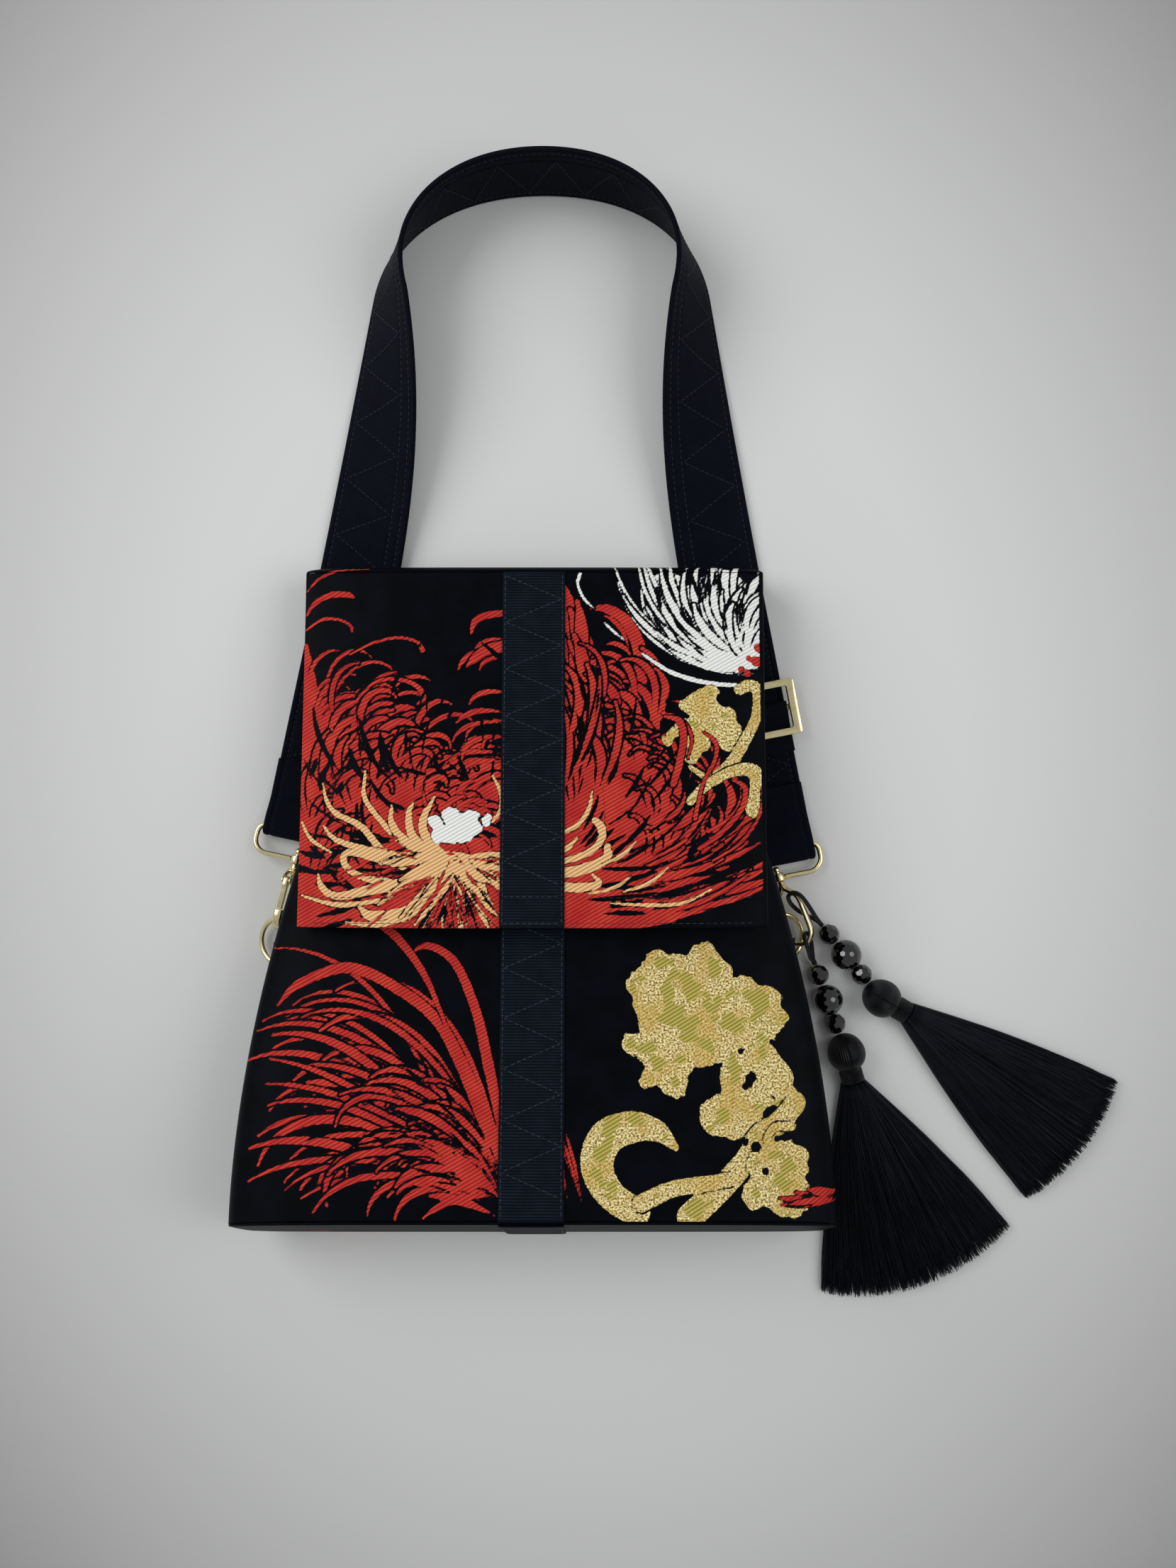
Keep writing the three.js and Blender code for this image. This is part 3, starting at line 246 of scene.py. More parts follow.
def put_mesh(name, shells, material, flat=False, cloth=None):
    """A mesh at the origin from shells of (corners in mm, faces of one size, ...).

    cloth gives corners their millimetres across and along the cloth, for the weave; past its rows they get 0.
    """
    corners, quads, triangles, base = [], [], [], 0
    for points, *face_sets in shells:
        points = np.asarray(points, float).reshape(-1, 3)
        corners.append(points)
        for faces in face_sets:
            (quads if faces.shape[1] == 4 else triangles).append(faces + base)
        base += len(points)
    faces = [np.concatenate(group) for group in (quads, triangles) if group]
    sizes = np.concatenate([np.full(len(group), group.shape[1]) for group in faces])
    around = np.concatenate([group.ravel() for group in faces])
    mesh = bpy.data.meshes.new(name)
    mesh.vertices.add(base)
    mesh.vertices.foreach_set("co", (np.concatenate(corners) * MM).astype(np.float32).ravel())
    mesh.loops.add(len(around))
    mesh.loops.foreach_set("vertex_index", around.astype(np.int32))
    mesh.polygons.add(len(sizes))
    mesh.polygons.foreach_set("loop_start", (np.cumsum(sizes) - sizes).astype(np.int32))
    mesh.polygons.foreach_set("use_smooth", np.full(len(sizes), not flat))
    mesh.update(calc_edges=True)
    mesh.materials.append(material)
    if cloth is not None:
        laid = np.zeros((base, 3), np.float32)
        rows = cloth.reshape(-1, cloth.shape[-1])
        laid[: len(rows), : rows.shape[1]] = rows
        mesh.attributes.new("cloth", "FLOAT_VECTOR", "POINT").data.foreach_set("vector", laid.ravel())
    piece = bpy.data.objects.new(name, mesh)
    bpy.context.scene.collection.objects.link(piece)
    return piece


def put_piece(name, shells, material, body, flat=False, cloth=None):
    """A mesh that stands for the CAD node of its name, rides on a body and has its material's slot."""
    piece = put_mesh(f"{name}_shown", shells, material, flat, cloth)
    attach(piece, body)
    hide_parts(name)
    return piece


def cap_faces(ring, middle):
    """Triangles that fan out from a middle corner to a ring of corners."""
    ring = np.asarray(ring)
    return np.stack([np.full(len(ring), middle), ring, np.roll(ring, -1)], -1)


def loft(points, closed=False):
    """A solid from rings of points, one after another; closed joins the last ring to the first."""
    points = np.asarray(points, float)
    stations, sides = points.shape[:2]
    faces = grid_faces(stations, sides, ring_rows=closed, ring_columns=True)
    if closed:
        return turned_out(points.reshape(-1, 3), faces)
    corners = np.concatenate([points.reshape(-1, 3), points[[0, -1]].mean(1)])
    count = stations * sides
    first = cap_faces(np.arange(sides), count)[:, ::-1]
    last = cap_faces(np.arange(count - sides, count), count + 1)
    return turned_out(corners, faces, np.concatenate([first, last]))


def tube(spine, across, up, outline, closed=False):
    """A solid carried along a spine: a point (a, b) of its outline lies a along across and b along up.

    The outline may also be one outline for each station, so that the solid can taper.
    """
    spine, across, up = (np.asarray(part, float)[:, None] for part in (spine, across, up))
    outline = np.asarray(outline, float)
    if outline.ndim == 2:
        outline = np.broadcast_to(outline, (len(spine), *outline.shape))
    return loft(spine + outline[..., :1] * across + outline[..., 1:] * up, closed)


def turned_out(points, *face_sets):
    """The shell with its faces turned so that its volume, the sum of its corner pyramids, is above zero."""
    volume = 0.0
    for faces in face_sets:
        a, b, c = (points[faces[:, k]] for k in range(3))
        volume += np.einsum("ij,ij->", a, np.cross(b, c))
        if faces.shape[1] == 4:
            d = points[faces[:, 3]]
            volume += np.einsum("ij,ij->", a, np.cross(c, d))
    if volume < 0:
        face_sets = [faces[:, ::-1] for faces in face_sets]
    return (points, *face_sets)


def double_sheet(outer, inner, outer_run=None, inner_run=None):
    """A sewn sheet: an outer grid and an inner one with as many columns, joined round all four edges.

    The runs are the shares of the length at which each grid has its rows, even ones if not given.
    """
    rows, columns = outer.shape[:2]
    back_rows = inner.shape[0]
    outer_run = np.linspace(0, 1, rows) if outer_run is None else outer_run
    inner_run = np.linspace(0, 1, back_rows) if inner_run is None else inner_run
    start = rows * columns
    corners = np.concatenate([outer.reshape(-1, 3), inner.reshape(-1, 3)])
    front = grid_faces(rows, columns)
    back = grid_faces(back_rows, columns)[:, ::-1] + start
    j = np.arange(columns - 1)
    last, back_last = (rows - 1) * columns, start + (back_rows - 1) * columns
    rims = [
        np.stack([j + 1, j, start + j, start + j + 1], -1),
        np.stack([last + j, last + j + 1, back_last + j + 1, back_last + j], -1),
    ]
    k = np.arange(rows - 1)
    match = np.round(np.interp(outer_run, inner_run, np.arange(back_rows))).astype(int)
    match[0], match[-1] = 0, back_rows - 1
    sides = []
    for column, flip in ((0, False), (columns - 1, True)):
        near, far = np.arange(rows) * columns + column, start + np.arange(back_rows) * columns + column
        strips = [np.stack([near[k], near[k + 1], far[match[k]]], -1)]
        for step in k:
            low, high = match[step], match[step + 1]
            i = np.arange(low, high)
            strips.append(np.stack([np.full(len(i), near[step + 1]), far[i + 1], far[i]], -1))
        strip = np.concatenate(strips)
        sides.append(strip[:, ::-1] if flip else strip)
    return turned_out(corners, np.concatenate([front, back, *rims]), np.concatenate(sides))


def run_along(line):
    """The length run at each point of a line, from 0."""
    return np.concatenate([[0], np.cumsum(np.linalg.norm(np.diff(line, axis=0), axis=1))])


def resampled(line, count):
    """Points at even steps of length along a line."""
    line = np.asarray(line, float)
    run = run_along(line)
    places = np.linspace(0, run[-1], count)
    return np.stack([np.interp(places, run, line[:, k]) for k in range(line.shape[1])], -1)


def curve_through(points, per_span=8, closed=False):
    """A Catmull-Rom curve: it passes each point along the line between the point's neighbours."""
    points = np.asarray(points, float)
    if closed:
        ends = np.concatenate([points[-1:], points, points[:2]])
    else:
        ends = np.concatenate([2 * points[:1] - points[1:2], points, 2 * points[-1:] - points[-2:-1]])
    share = np.linspace(0, 1, per_span, endpoint=False)[:, None]
    spans = []
    for a, b, c, d in zip(ends[:-3], ends[1:-2], ends[2:-1], ends[3:]):
        spans.append(0.5 * (2 * b + (c - a) * share + (2 * a - 5 * b + 4 * c - d) * share**2
                            + (3 * b - a - 3 * c + d) * share**3))
    return np.concatenate(spans if closed else [*spans, points[-1:]])


def ring_angles(sides):
    """Even angles all round."""
    return 2 * math.pi * np.arange(sides) / sides


def oval(half_width, half_height, sides, squareness=2.0):
    """A superellipse: the cosine and sine, each to the power 2 / squareness with its own sign."""
    angle = 2 * math.pi * (np.arange(sides) + 0.5) / sides
    c, s = (powered(part, 2 / squareness) for part in (np.cos(angle), np.sin(angle)))
    return np.stack([half_width * c, half_height * s], -1)


def node_middle(node):
    """The middle of a CAD node's box in millimetres."""
    low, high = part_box(node)
    return (np.array(low) / MM + np.array(high) / MM) / 2


# Body surfaces


def share_at(y):
    """The share of the body's length from the fold at which its front stands over y."""
    return (FOLD_Y - y) / BODY_LENGTH


def section(t):
    """The sack's section at a share t of its length from the fold: its heights and half width."""
    back_y = mix(FOLD_Y, BASE_BACK_Y, t)
    lifted = smooth(back_y, LIFT_START_Y, LIFT_END_Y)
    settled = smooth(back_y, SETTLE_START_Y, FOLD_Y)
    back = BACK_REST + BACK_LIFT * lifted + (FOLD_BACK_Z - BACK_REST - BACK_LIFT) * settled
    front = FOLD_FRONT_Z + (BASE_DEPTH - FOLD_FRONT_Z) * t**WEDGE_POWER
    swell = 1 - (1 - np.maximum(0, (t - SWELL_START) / (1 - SWELL_START))) ** SWELL_POWER
    return {
        "back_y": back_y,
        "front_y": mix(FOLD_Y, BASE_FRONT_Y, t),
        "back": back,
        "front": front,
        "seam": (back + front) / 2,
        "half": mix(SLEEVE_HALF_WIDTH, BASE_HALF_WIDTH, swell),
        "squareness": mix(BACK_SQUARENESS_TOP, BACK_SQUARENESS_BASE, smooth(t, SQUARING_START, 1)),
    }


def body_point(angle, t, depth):
    """The sack's superellipse at an angle (0 at the right seam, pi at the left) and a depth in the cloth."""
    s = section(t)
    c, n = np.cos(angle), np.sin(angle)
    front = n >= 0
    power = np.where(front, FRONT_SQUARENESS, s["squareness"])
    x = (s["half"] - depth) * powered(c, 2 / power)
    rise = np.abs(n) ** (2 / power)
    above = s["seam"] + (s["front"] - s["seam"] - depth) * rise
    below = s["seam"] - (s["seam"] - s["back"] - depth) * rise
    z = np.where(front, above, below)
    y = mix(s["back_y"], s["front_y"], (z - s["back"]) / (s["front"] - s["back"]))
    return np.stack(np.broadcast_arrays(x, y, z), -1)


def even_steps(points_at, count, upper, samples):
    """Angles whose points lie at even steps round the upper or lower half of a section."""
    angle = np.linspace(0, math.pi if upper else -math.pi, samples)
    run = run_along(points_at(angle))
    return np.interp(np.linspace(0, run[-1], count), run, angle)


def even_angles(count, front):
    """Even steps round the sack's front or back half, where it has swollen."""
    return even_steps(lambda angle: body_point(angle, SWOLLEN_SHARE, 0), count, front, 4001)


def flap_under(x, y):
    """The height of the flap's underside over a place of the front wall, with its edges drooping."""
    v = (FLAP_START_Y - y) / (FLAP_START_Y - FLAP_END_Y)
    droop = mix(FLAP_DROOP_FOLD, FLAP_DROOP_MOUTH, v) * np.abs(x / SLEEVE_HALF_WIDTH) ** FRONT_SQUARENESS
    return section(share_at(y))["front"] + RIBBON_THICKNESS + 2 * CLEARANCE + FLAP_GAP - droop


def flap_half(y):
    """The sleeve's half width at y."""
    return mix(FLAP_MOUTH_HALF_WIDTH, SLEEVE_HALF_WIDTH, (y - FLAP_END_Y) / (FLAP_START_Y - FLAP_END_Y))


def flap_point(angle, y, depth):
    """The sleeve's closed section, a flat superellipse: angle 0 at its right edge, a quarter turn on top."""
    power = 2 / FLAP_SQUARENESS
    x = (flap_half(y) - depth) * powered(np.cos(angle), power)
    rise = (FLAP_THICKNESS / 2 - depth) * powered(np.sin(angle), power)
    z = flap_under(x, y) + FLAP_THICKNESS / 2 + rise
    return np.stack(np.broadcast_arrays(x, y, z), -1)


def even_flap_angles(count, top):
    """Even steps round the sleeve's upper or lower half, midway along the flap."""
    return even_steps(lambda angle: flap_point(angle, FLAP_MIDDLE_Y, 0), count, top, 6001)


# Woven colours: each is a field in millimetres, below zero inside the colour's shapes

FAR = 6.0  # fields are cut off at this distance
MERGED = -1.0  # a shape without a dark line runs into what has its colour
# Shapes of one colour take turns on its layers, so that the dark lines between them stay sharp
LAYERS = {"red": 3, "peach": 2, "white": 2, "gold": 1}
CHANNELS = [(colour, layer) for colour, layers in LAYERS.items() for layer in range(layers)]
AT_ROOT = (0.0, 0.01)
PETAL_POINTS = 28
PIECE_POINTS = 8


class Loom:
    """Lays coloured shapes on cloth seen from above; a new one covers what it lies on, with a dark line."""

    def __init__(self, points, seed):
        self.x, self.y = points[..., 0].ravel(), points[..., 1].ravel()
        self.fields = {channel: np.full(self.x.size, FAR) for channel in CHANNELS}
        self.turns = dict.fromkeys(LAYERS, 0)
        self.random = np.random.default_rng(seed)

    def lay(self, colour, near, distance, line):
        """Takes a shape and its dark line out of all colours and adds it to its own; None leaves a hole."""
        for (name, _), field in self.fields.items():
            rim = line if name == colour else np.maximum(line, 0) * 0.5
            field[near] = np.maximum(field[near], rim - distance)
        if colour:
            self.turns[colour] = (self.turns[colour] + 1) % LAYERS[colour]
            field = self.fields[colour, self.turns[colour]]
            field[near] = np.minimum(field[near], distance)

    def near(self, line, reach):
        """The numbers of the corners within a reach of a line's box."""
        low, high = line.min(0) - reach, line.max(0) + reach
        within_x = (self.x > low[0]) & (self.x < high[0])
        return np.flatnonzero(within_x & (self.y > low[1]) & (self.y < high[1]))

    def stroke(self, colour, line, half, outline, parted):
        """A stroke: the distance to the nearest place on the line, less the half width there.

        Its dark line starts between the two shares of its length in `parted`; before them it is merged.
        """
        near = self.near(line, half.max() + FAR)
        if near.size == 0:
            return
        a, d = line[:-1], np.diff(line, axis=0)
        from_x = self.x[near, None] - a[:, 0]
        from_y = self.y[near, None] - a[:, 1]
        share = np.clip((from_x * d[:, 0] + from_y * d[:, 1]) / (d**2).sum(1), 0, 1)
        gap = np.hypot(from_x - share * d[:, 0], from_y - share * d[:, 1])
        gap = gap - half[:-1] - share * np.diff(half)
        nearest = gap.argmin(1)
        row = np.arange(near.size)
        place = (nearest + share[row, nearest]) / len(d)
        self.lay(colour, near, gap[row, nearest], mix(MERGED, outline, smooth(place, *parted)))

    def lobes(self, colour, circles, outline=0.4):
        """A scalloped shape: circles (x, y, radius) that melt into each other, with a wavering edge."""
        circles = np.asarray(circles, float)
        near = self.near(circles[:, :2], circles[:, 2].max() + FAR)
        gap = np.hypot(self.x[near, None] - circles[:, 0], self.y[near, None] - circles[:, 1]) - circles[:, 2]
        soft = 0.18 * circles[:, 2].mean()
        melted = gap.min(1) - soft * np.log(np.exp((gap.min(1)[:, None] - gap) / soft).sum(1))
        ragged = soft_waves(self.x[near], self.y[near], 2, 3, 12)
        self.lay(colour, near, melted + ragged * min(1.6, 0.3 * circles[:, 2].max()), outline)

    def petals(self, colour, count, root, heading, length, turn, width, spread=(3, 3), hook=1.5, outline=0.7,
               parted=(0.2, 0.55), part=None):
        """Petals that leave round a root.

        A petal's heading turns by `turn` degrees over its length, faster towards its tip by the power `hook`.
        It swells as a sine to its full width past its middle and draws in to a tip. Headings are counted from
        +X, anticlockwise, and each pair is a range. With `part`, only a piece of each petal's line is laid,
        which starts at a share in the first range and is as long as one in the second.
        """
        draw = self.random.uniform
        for place in range(count):
            share = (place + draw(0.1, 0.9)) / count
            start = np.array(root) + [draw(-1, 1) * spread[0], draw(-1, 1) * spread[1]]
            s = np.linspace(0, 1, PETAL_POINTS)
            angle = np.radians(mix(*heading, share) + mix(*turn, draw()) * s**hook)
            step = mix(*length, draw()) / (PETAL_POINTS - 1)
            line = start + np.stack([np.cumsum(np.cos(angle)), np.cumsum(np.sin(angle))], -1) * step
            if part:
                first = draw(*part[0])
                line = line[(s >= min(first, 0.85)) & (s <= first + draw(*part[1]) + 0.08)]
                line = resampled(line, PIECE_POINTS)
                swell = np.sin(math.pi * np.linspace(0.06, 0.94, PIECE_POINTS)) ** 0.8
            else:
                swell = np.sin(math.pi * np.clip(s, 0.05, 0.95) ** 1.4) ** 0.7
            self.stroke(colour, line, mix(*width, draw()) / 2 * swell, outline, parted)

    def fans(self, colour, *rows):
        """Petals row by row, each row with what `petals` takes after the colour."""
        for row in rows:
            self.petals(colour, *row)

    def gaps(self, count, root, heading, length, turn, width, spread, hook, first, long):
        """Dark gaps along pieces of petals' lines."""
        self.petals(None, count, root, heading, length, turn, width, spread, hook, 0.0, part=(first, long))

    def sweep(self, colour, points, widths, outline=0.7, parted=AT_ROOT):
        """A stroke drawn through chosen points, with a full width at each."""
        line = curve_through(points, 6)
        half = np.interp(np.linspace(0, len(widths) - 1, len(line)), np.arange(len(widths)), widths) / 2
        self.stroke(colour, line, half, outline, parted)

    def sweeps(self, colour, rows, *style):
        """Strokes (points, widths) that share an outline and where it parts."""
        for points, widths in rows:
            self.sweep(colour, points, widths, *style)

    def keep(self, mask):
        """Only what lies where the mask is below zero stays woven."""
        for field in self.fields.values():
            np.maximum(field, mask, out=field)

    def write(self, piece, count):
        """Writes the fields, as shares of the range from -FAR to FAR, on the piece's first count corners."""
        values = np.ones((len(WOVEN), len(piece.data.vertices), 4), np.float32)
        for k, channel in enumerate(CHANNELS):
            values[k // 4, :count, k % 4] = np.clip(self.fields[channel] / (2 * FAR) + 0.5, 0, 1)
        write_woven(piece, values)


WOVEN = ("woven_under", "woven_over")  # attributes with four channels each


def write_woven(piece, values):
    """Puts one set of colours on each of the two attributes of the weave."""
    for name, part in zip(WOVEN, values):
        piece.data.attributes.new(name, "FLOAT_COLOR", "POINT").data.foreach_set("color", part.ravel())


HEART = (-35.0, 40.0)
PEACH_ROOT = (-35.0, 25.0)


def weave_red_flower(loom):
    """The great red flower: filled masses beside the ribbon, hooked petals round them, and dark gaps."""
    loom.sweeps("red", (
        ([(-110, 126), (-108, 104), (-104, 60), (-100, 10)], (3, 10, 24, 34)),
        ([(-104, 98), (-84, 88), (-62, 76), (-38, 62), (-18, 66)], (12, 20, 22, 22, 14)),
        ([(-96, 54), (-58, 50), (-16, 56)], (50, 40, 26)),
        ([(-106, 14), (-60, 12), (-10, 12)], (46, 46, 46)),
        ([(12, 160), (17, 142), (19, 112), (20, 60), (20, 12)], (1, 9, 16, 26, 30)),
        ([(26, 108), (38, 90), (48, 70), (54, 36)], (10, 24, 32, 40)),
        ([(20, 18), (46, 16), (66, 18)], (44, 34, 14)),
        ([(10, -2), (50, -2), (84, 2)], (14, 9, 3)),
    ), MERGED)
    loom.fans(
        "red",
        # the left side, from the far petals to the near ones
        (13, (-101, 84), (98, 62), (26, 56), (-150, -80), (1.4, 2.4), (9, 12), 2.2, 0.6),
        (9, (-84, 84), (80, 52), (26, 46), (-140, -80), (1.5, 2.8), (12, 8), 2.0, 0.6),
        (14, (-92, 66), (110, 52), (34, 52), (-170, -100), (2.2, 4.0), (14, 12), 2.6, 1.0),
        (26, (-74, 56), (112, 50), (26, 48), (-170, -100), (2.2, 4.0), (24, 14), 2.6, 1.0),
        (22, (-50, 50), (120, 40), (18, 38), (-190, -110), (2.0, 3.4), (18, 14), 2.4, 1.0),
        (20, (-88, 30), (130, 80), (24, 44), (-120, -60), (2.2, 3.8), (16, 26), 2.4, 1.0),
        # petals that come out from under the ribbon and hook down
        (15, (-11, 100), (170, 176), (15, 32), (50, 110), (1.2, 3.0), (2, 38), 2.2, 0.3, AT_ROOT),
    )
    loom.sweeps("red", (
        ([(-13, 142), (-22, 141), (-28, 138), (-30, 132)], (3, 3.6, 3.2, 1)),
        ([(-13, 126), (-22, 124), (-28, 120), (-32, 116)], (5.5, 5.5, 4, 0.8)),
        # the corner's own strokes
        ([(-110, 153), (-104, 159), (-94, 163), (-80, 164)], (0.8, 1.2, 1.2, 0.8)),
        ([(-110, 141), (-106, 147), (-98, 151), (-90, 151), (-87, 150)], (1, 2.4, 3.0, 3.0, 1.4)),
        ([(-110, 134), (-102, 139), (-94, 139), (-88, 136), (-87, 133)], (1, 1.4, 1.4, 1.4, 1.2)),
        ([(-88, 122), (-78, 127), (-66, 130), (-56, 128), (-53, 124)], (1, 1.2, 1.4, 1.6, 2.6)),
        ([(-84, 100), (-76, 108), (-66, 110), (-56, 107), (-52, 101), (-55, 98)], (1, 1.6, 1.8, 2.2, 2.6, 1)),
        # the right side: blades that climb beside the ribbon and hook to the left
        ([(46, 96), (51, 112), (50, 126), (44, 138), (35, 144), (27, 144)], (7, 7, 6.4, 6, 4.4, 1)),
    ))
    loom.fans(
        "red",
        (7, (46, 112), (100, 140), (12, 24), (40, 110), (1.0, 3.4), (2, 14), 1.6, 0.3),
        (8, (20, 96), (96, 74), (36, 62), (14, 44), (4, 8), (8, 8), 2.0),
        (24, (40, 70), (104, 60), (28, 60), (60, 150), (2.2, 4.6), (20, 18), 2.6, 1.0),
        (18, (60, 48), (100, 44), (26, 50), (80, 160), (1.6, 4.0), (14, 16), 2.6, 1.0),
        (20, (68, 26), (70, 14), (22, 46), (50, 130), (1.8, 4.4), (20, 14), 2.4, 1.0),
        (12, (40, 10), (30, -6), (40, 74), (14, 40), (2.4, 4.6), (20, 6), 1.6),
        (9, (34, 2), (2, 8), (52, 80), (14, 34), (2.0, 4.4), (14, 5), 1.8),
        (16, (22, 60), (100, 60), (34, 62), (20, 80), (2.6, 4.6), (12, 22), 2.2, 1.1, (0.1, 0.3)),
    )
    # dark gaps between petals, along the same curves
    for count, root, heading, length, turn in (
        (24, HEART, (206, 118), (66, 104), (-120, -70)),
        (26, (-60, 6), (200, 130), (20, 60), (-70, 10)),
        (8, (-100, 40), (110, 70), (20, 60), (-60, -20)),
        (34, HEART, (236, 180), (56, 92), (-70, -20)),
        (14, (-20, 44), (150, 60), (30, 60), (-60, 20)),
        (16, (0, 34), (84, 40), (64, 110), (50, 90)),
        (30, (0, 22), (36, -20), (60, 112), (30, 70)),
        (16, (0, 4), (6, -10), (60, 100), (6, 30)),
    ):
        loom.gaps(count, root, heading, length, turn, (1.0, 2.8), (6, 8), 1.3, (0.3, 0.8), (0.1, 0.3))


def weave_peach(loom):
    """The flower's lit heart: peach petals with red between them, and white stamens."""
    low_root = (-35, 18)
    loom.petals("red", 20, HEART, (200, -20), (12, 24), (-150, -70), (1.6, 3.0), (6, 6), 1.2, 0.35)
    # left, from the top
    loom.sweeps("peach", (
        ([(-50, 26), (-68, 28), (-80, 40), (-92, 46), (-97, 52), (-99, 60)], (4, 3.4, 3, 2.6, 2, 1)),
        ([(-50, 28), (-62, 34), (-72, 44), (-79, 54), (-79, 66)], (4, 3, 2.6, 2.4, 1)),
        ([(-48, 28), (-60, 34), (-66, 42), (-66, 50)], (4, 4, 3, 1)),
        ([(-46, 27), (-56, 36), (-58, 46), (-56, 51)], (4, 4, 3, 1)),
        ([(-42, 27), (-50, 36), (-51, 44), (-46, 54)], (4, 4.4, 3.6, 1)),
        ([(-52, 24), (-76, 29), (-92, 34), (-98, 40)], (4, 3.4, 2.4, 1)),
        ([(-60, 22), (-84, 28), (-88, 24), (-82, 18), (-66, 14)], (4, 3, 3.2, 3, 4)),
        ([(-44, 17), (-70, 12), (-90, 8), (-98, 12), (-100, 18)], (5, 5, 3.6, 3, 1)),
        ([(-70, 6), (-90, 4), (-108, 8)], (2, 2.4, 1)),
        ([(-109, 42), (-104, 34), (-94, 28)], (1, 2, 1)),
        ([(-42, 8), (-60, 0), (-74, -1), (-80, 3)], (6, 6, 5, 1.6)),
        ([(-56, -1), (-72, -5), (-86, -4)], (3, 2.8, 1)),
        ([(-19, 64), (-15, 56), (-15, 48), (-19, 42)], (1, 2.2, 2.2, 1)),
    ), 0.4, (0.15, 0.4))
    loom.fans(
        "peach",
        (34, PEACH_ROOT, (168, 366), (18, 38), (-30, 30), (2.8, 5.0), (6, 4), 1.4, 0.5, (0.3, 0.6)),
        (13, low_root, (214, 326), (22, 32), (-10, 10), (2.2, 3.4), (4, 3), 1.2, 0.4, (0.3, 0.6)),
    )
    loom.petals("red", 10, low_root, (226, 312), (24, 36), (-8, 8), (1.2, 2.2), (4, 2), 1.2, 0.3, AT_ROOT)
    loom.gaps(14, (-34, 22), (232, 306), (34, 40), (-6, 6), (0.7, 1.5), (3, 2), 1.2, (0.2, 0.6), (0.2, 0.4))
    loom.petals("red", 40, PEACH_ROOT, (160, 380), (24, 54), (-30, 30), (0.7, 1.5), (7, 5), 1.4, 0.0, AT_ROOT,
                ((0.2, 0.7), (0.15, 0.4)))
    # right of the ribbon
    loom.sweeps("peach", (
        ([(8, 36), (20, 40), (26, 48), (28, 57)], (2, 2.2, 2, 0.8)),
        ([(8, 27), (16, 30), (21, 35)], (2.6, 2.6, 1)),
        ([(6, 22), (24, 27), (32, 34), (32, 40), (29, 43)], (3, 3, 3.4, 4, 3)),
        ([(6, 18), (22, 20), (34, 25), (35, 31)], (5, 5, 4.6, 3)),
        ([(6, 13), (22, 12), (31, 14), (28, 18)], (4.6, 4.4, 3, 1)),
        ([(32, 22), (42, 27), (48, 33)], (1, 2, 0.7)),
        ([(26, 9), (38, 12), (46, 17)], (0.8, 1.8, 0.7)),
        ([(42, 10), (54, 14), (63, 21)], (0.8, 2, 0.7)),
        ([(36, 5), (54, 4), (70, 5), (83, 11)], (0.8, 1.8, 1.6, 0.7)),
    ), 0.4)
    loom.lobes("white", [
        (-45, 42, 3.4), (-43, 37, 4.2), (-38, 44, 4.4), (-34, 40, 5.2), (-29, 44, 4), (-27, 40, 3.6),
        (-39, 35, 3), (-32, 36, 4), (-22, 42, 1.8), (-20.5, 45, 1.3),
    ], 0.5)


def weave_white(loom):
    """The edge of a white flower in the corner: hooked petals that leave its red-spotted core."""
    core = (106.0, 116.0)
    loom.sweeps("white", (
        ([(104, 122), (90, 126), (74, 134), (64, 152)], (14, 24, 30, 20)),
        ([(106, 128), (98, 138), (90, 152)], (16, 20, 24)),
    ), MERGED)
    loom.fans(
        "white",
        (9, core, (182, 150), (66, 96), (-96, -56), (1.4, 2.6), (3, 4), 1.3, 0.6),
        (20, core, (178, 118), (44, 72), (-96, -50), (2.6, 4.4), (3, 4), 1.5, 1.0, (0.3, 0.5)),
        (16, (104, 122), (160, 90), (20, 44), (-100, -50), (2.4, 4.2), (4, 6), 1.6, 1.0, (0.2, 0.4)),
    )
    loom.gaps(22, core, (182, 104), (46, 74), (-90, -50), (0.8, 2.6), (3, 5), 1.4, (0.5, 0.85), (0.1, 0.24))
    loom.sweeps("white", (
        ([(22, 161), (21, 156), (24, 149), (29, 144)], (1.8, 1.4, 1.4, 0.8)),
        ([(34, 137), (38, 133), (43, 129)], (1, 1.3, 0.8)),
        ([(52, 122), (66, 113), (84, 108), (104, 107)], (1.2, 2.2, 2.2, 1.4)),
    ))
    spots = [(107, 119, 2.6), (108, 125, 2.2), (103, 120, 1.4), (99, 115, 1.6), (102, 113, 1.8)]
    loom.lobes("red", spots, 0.2)


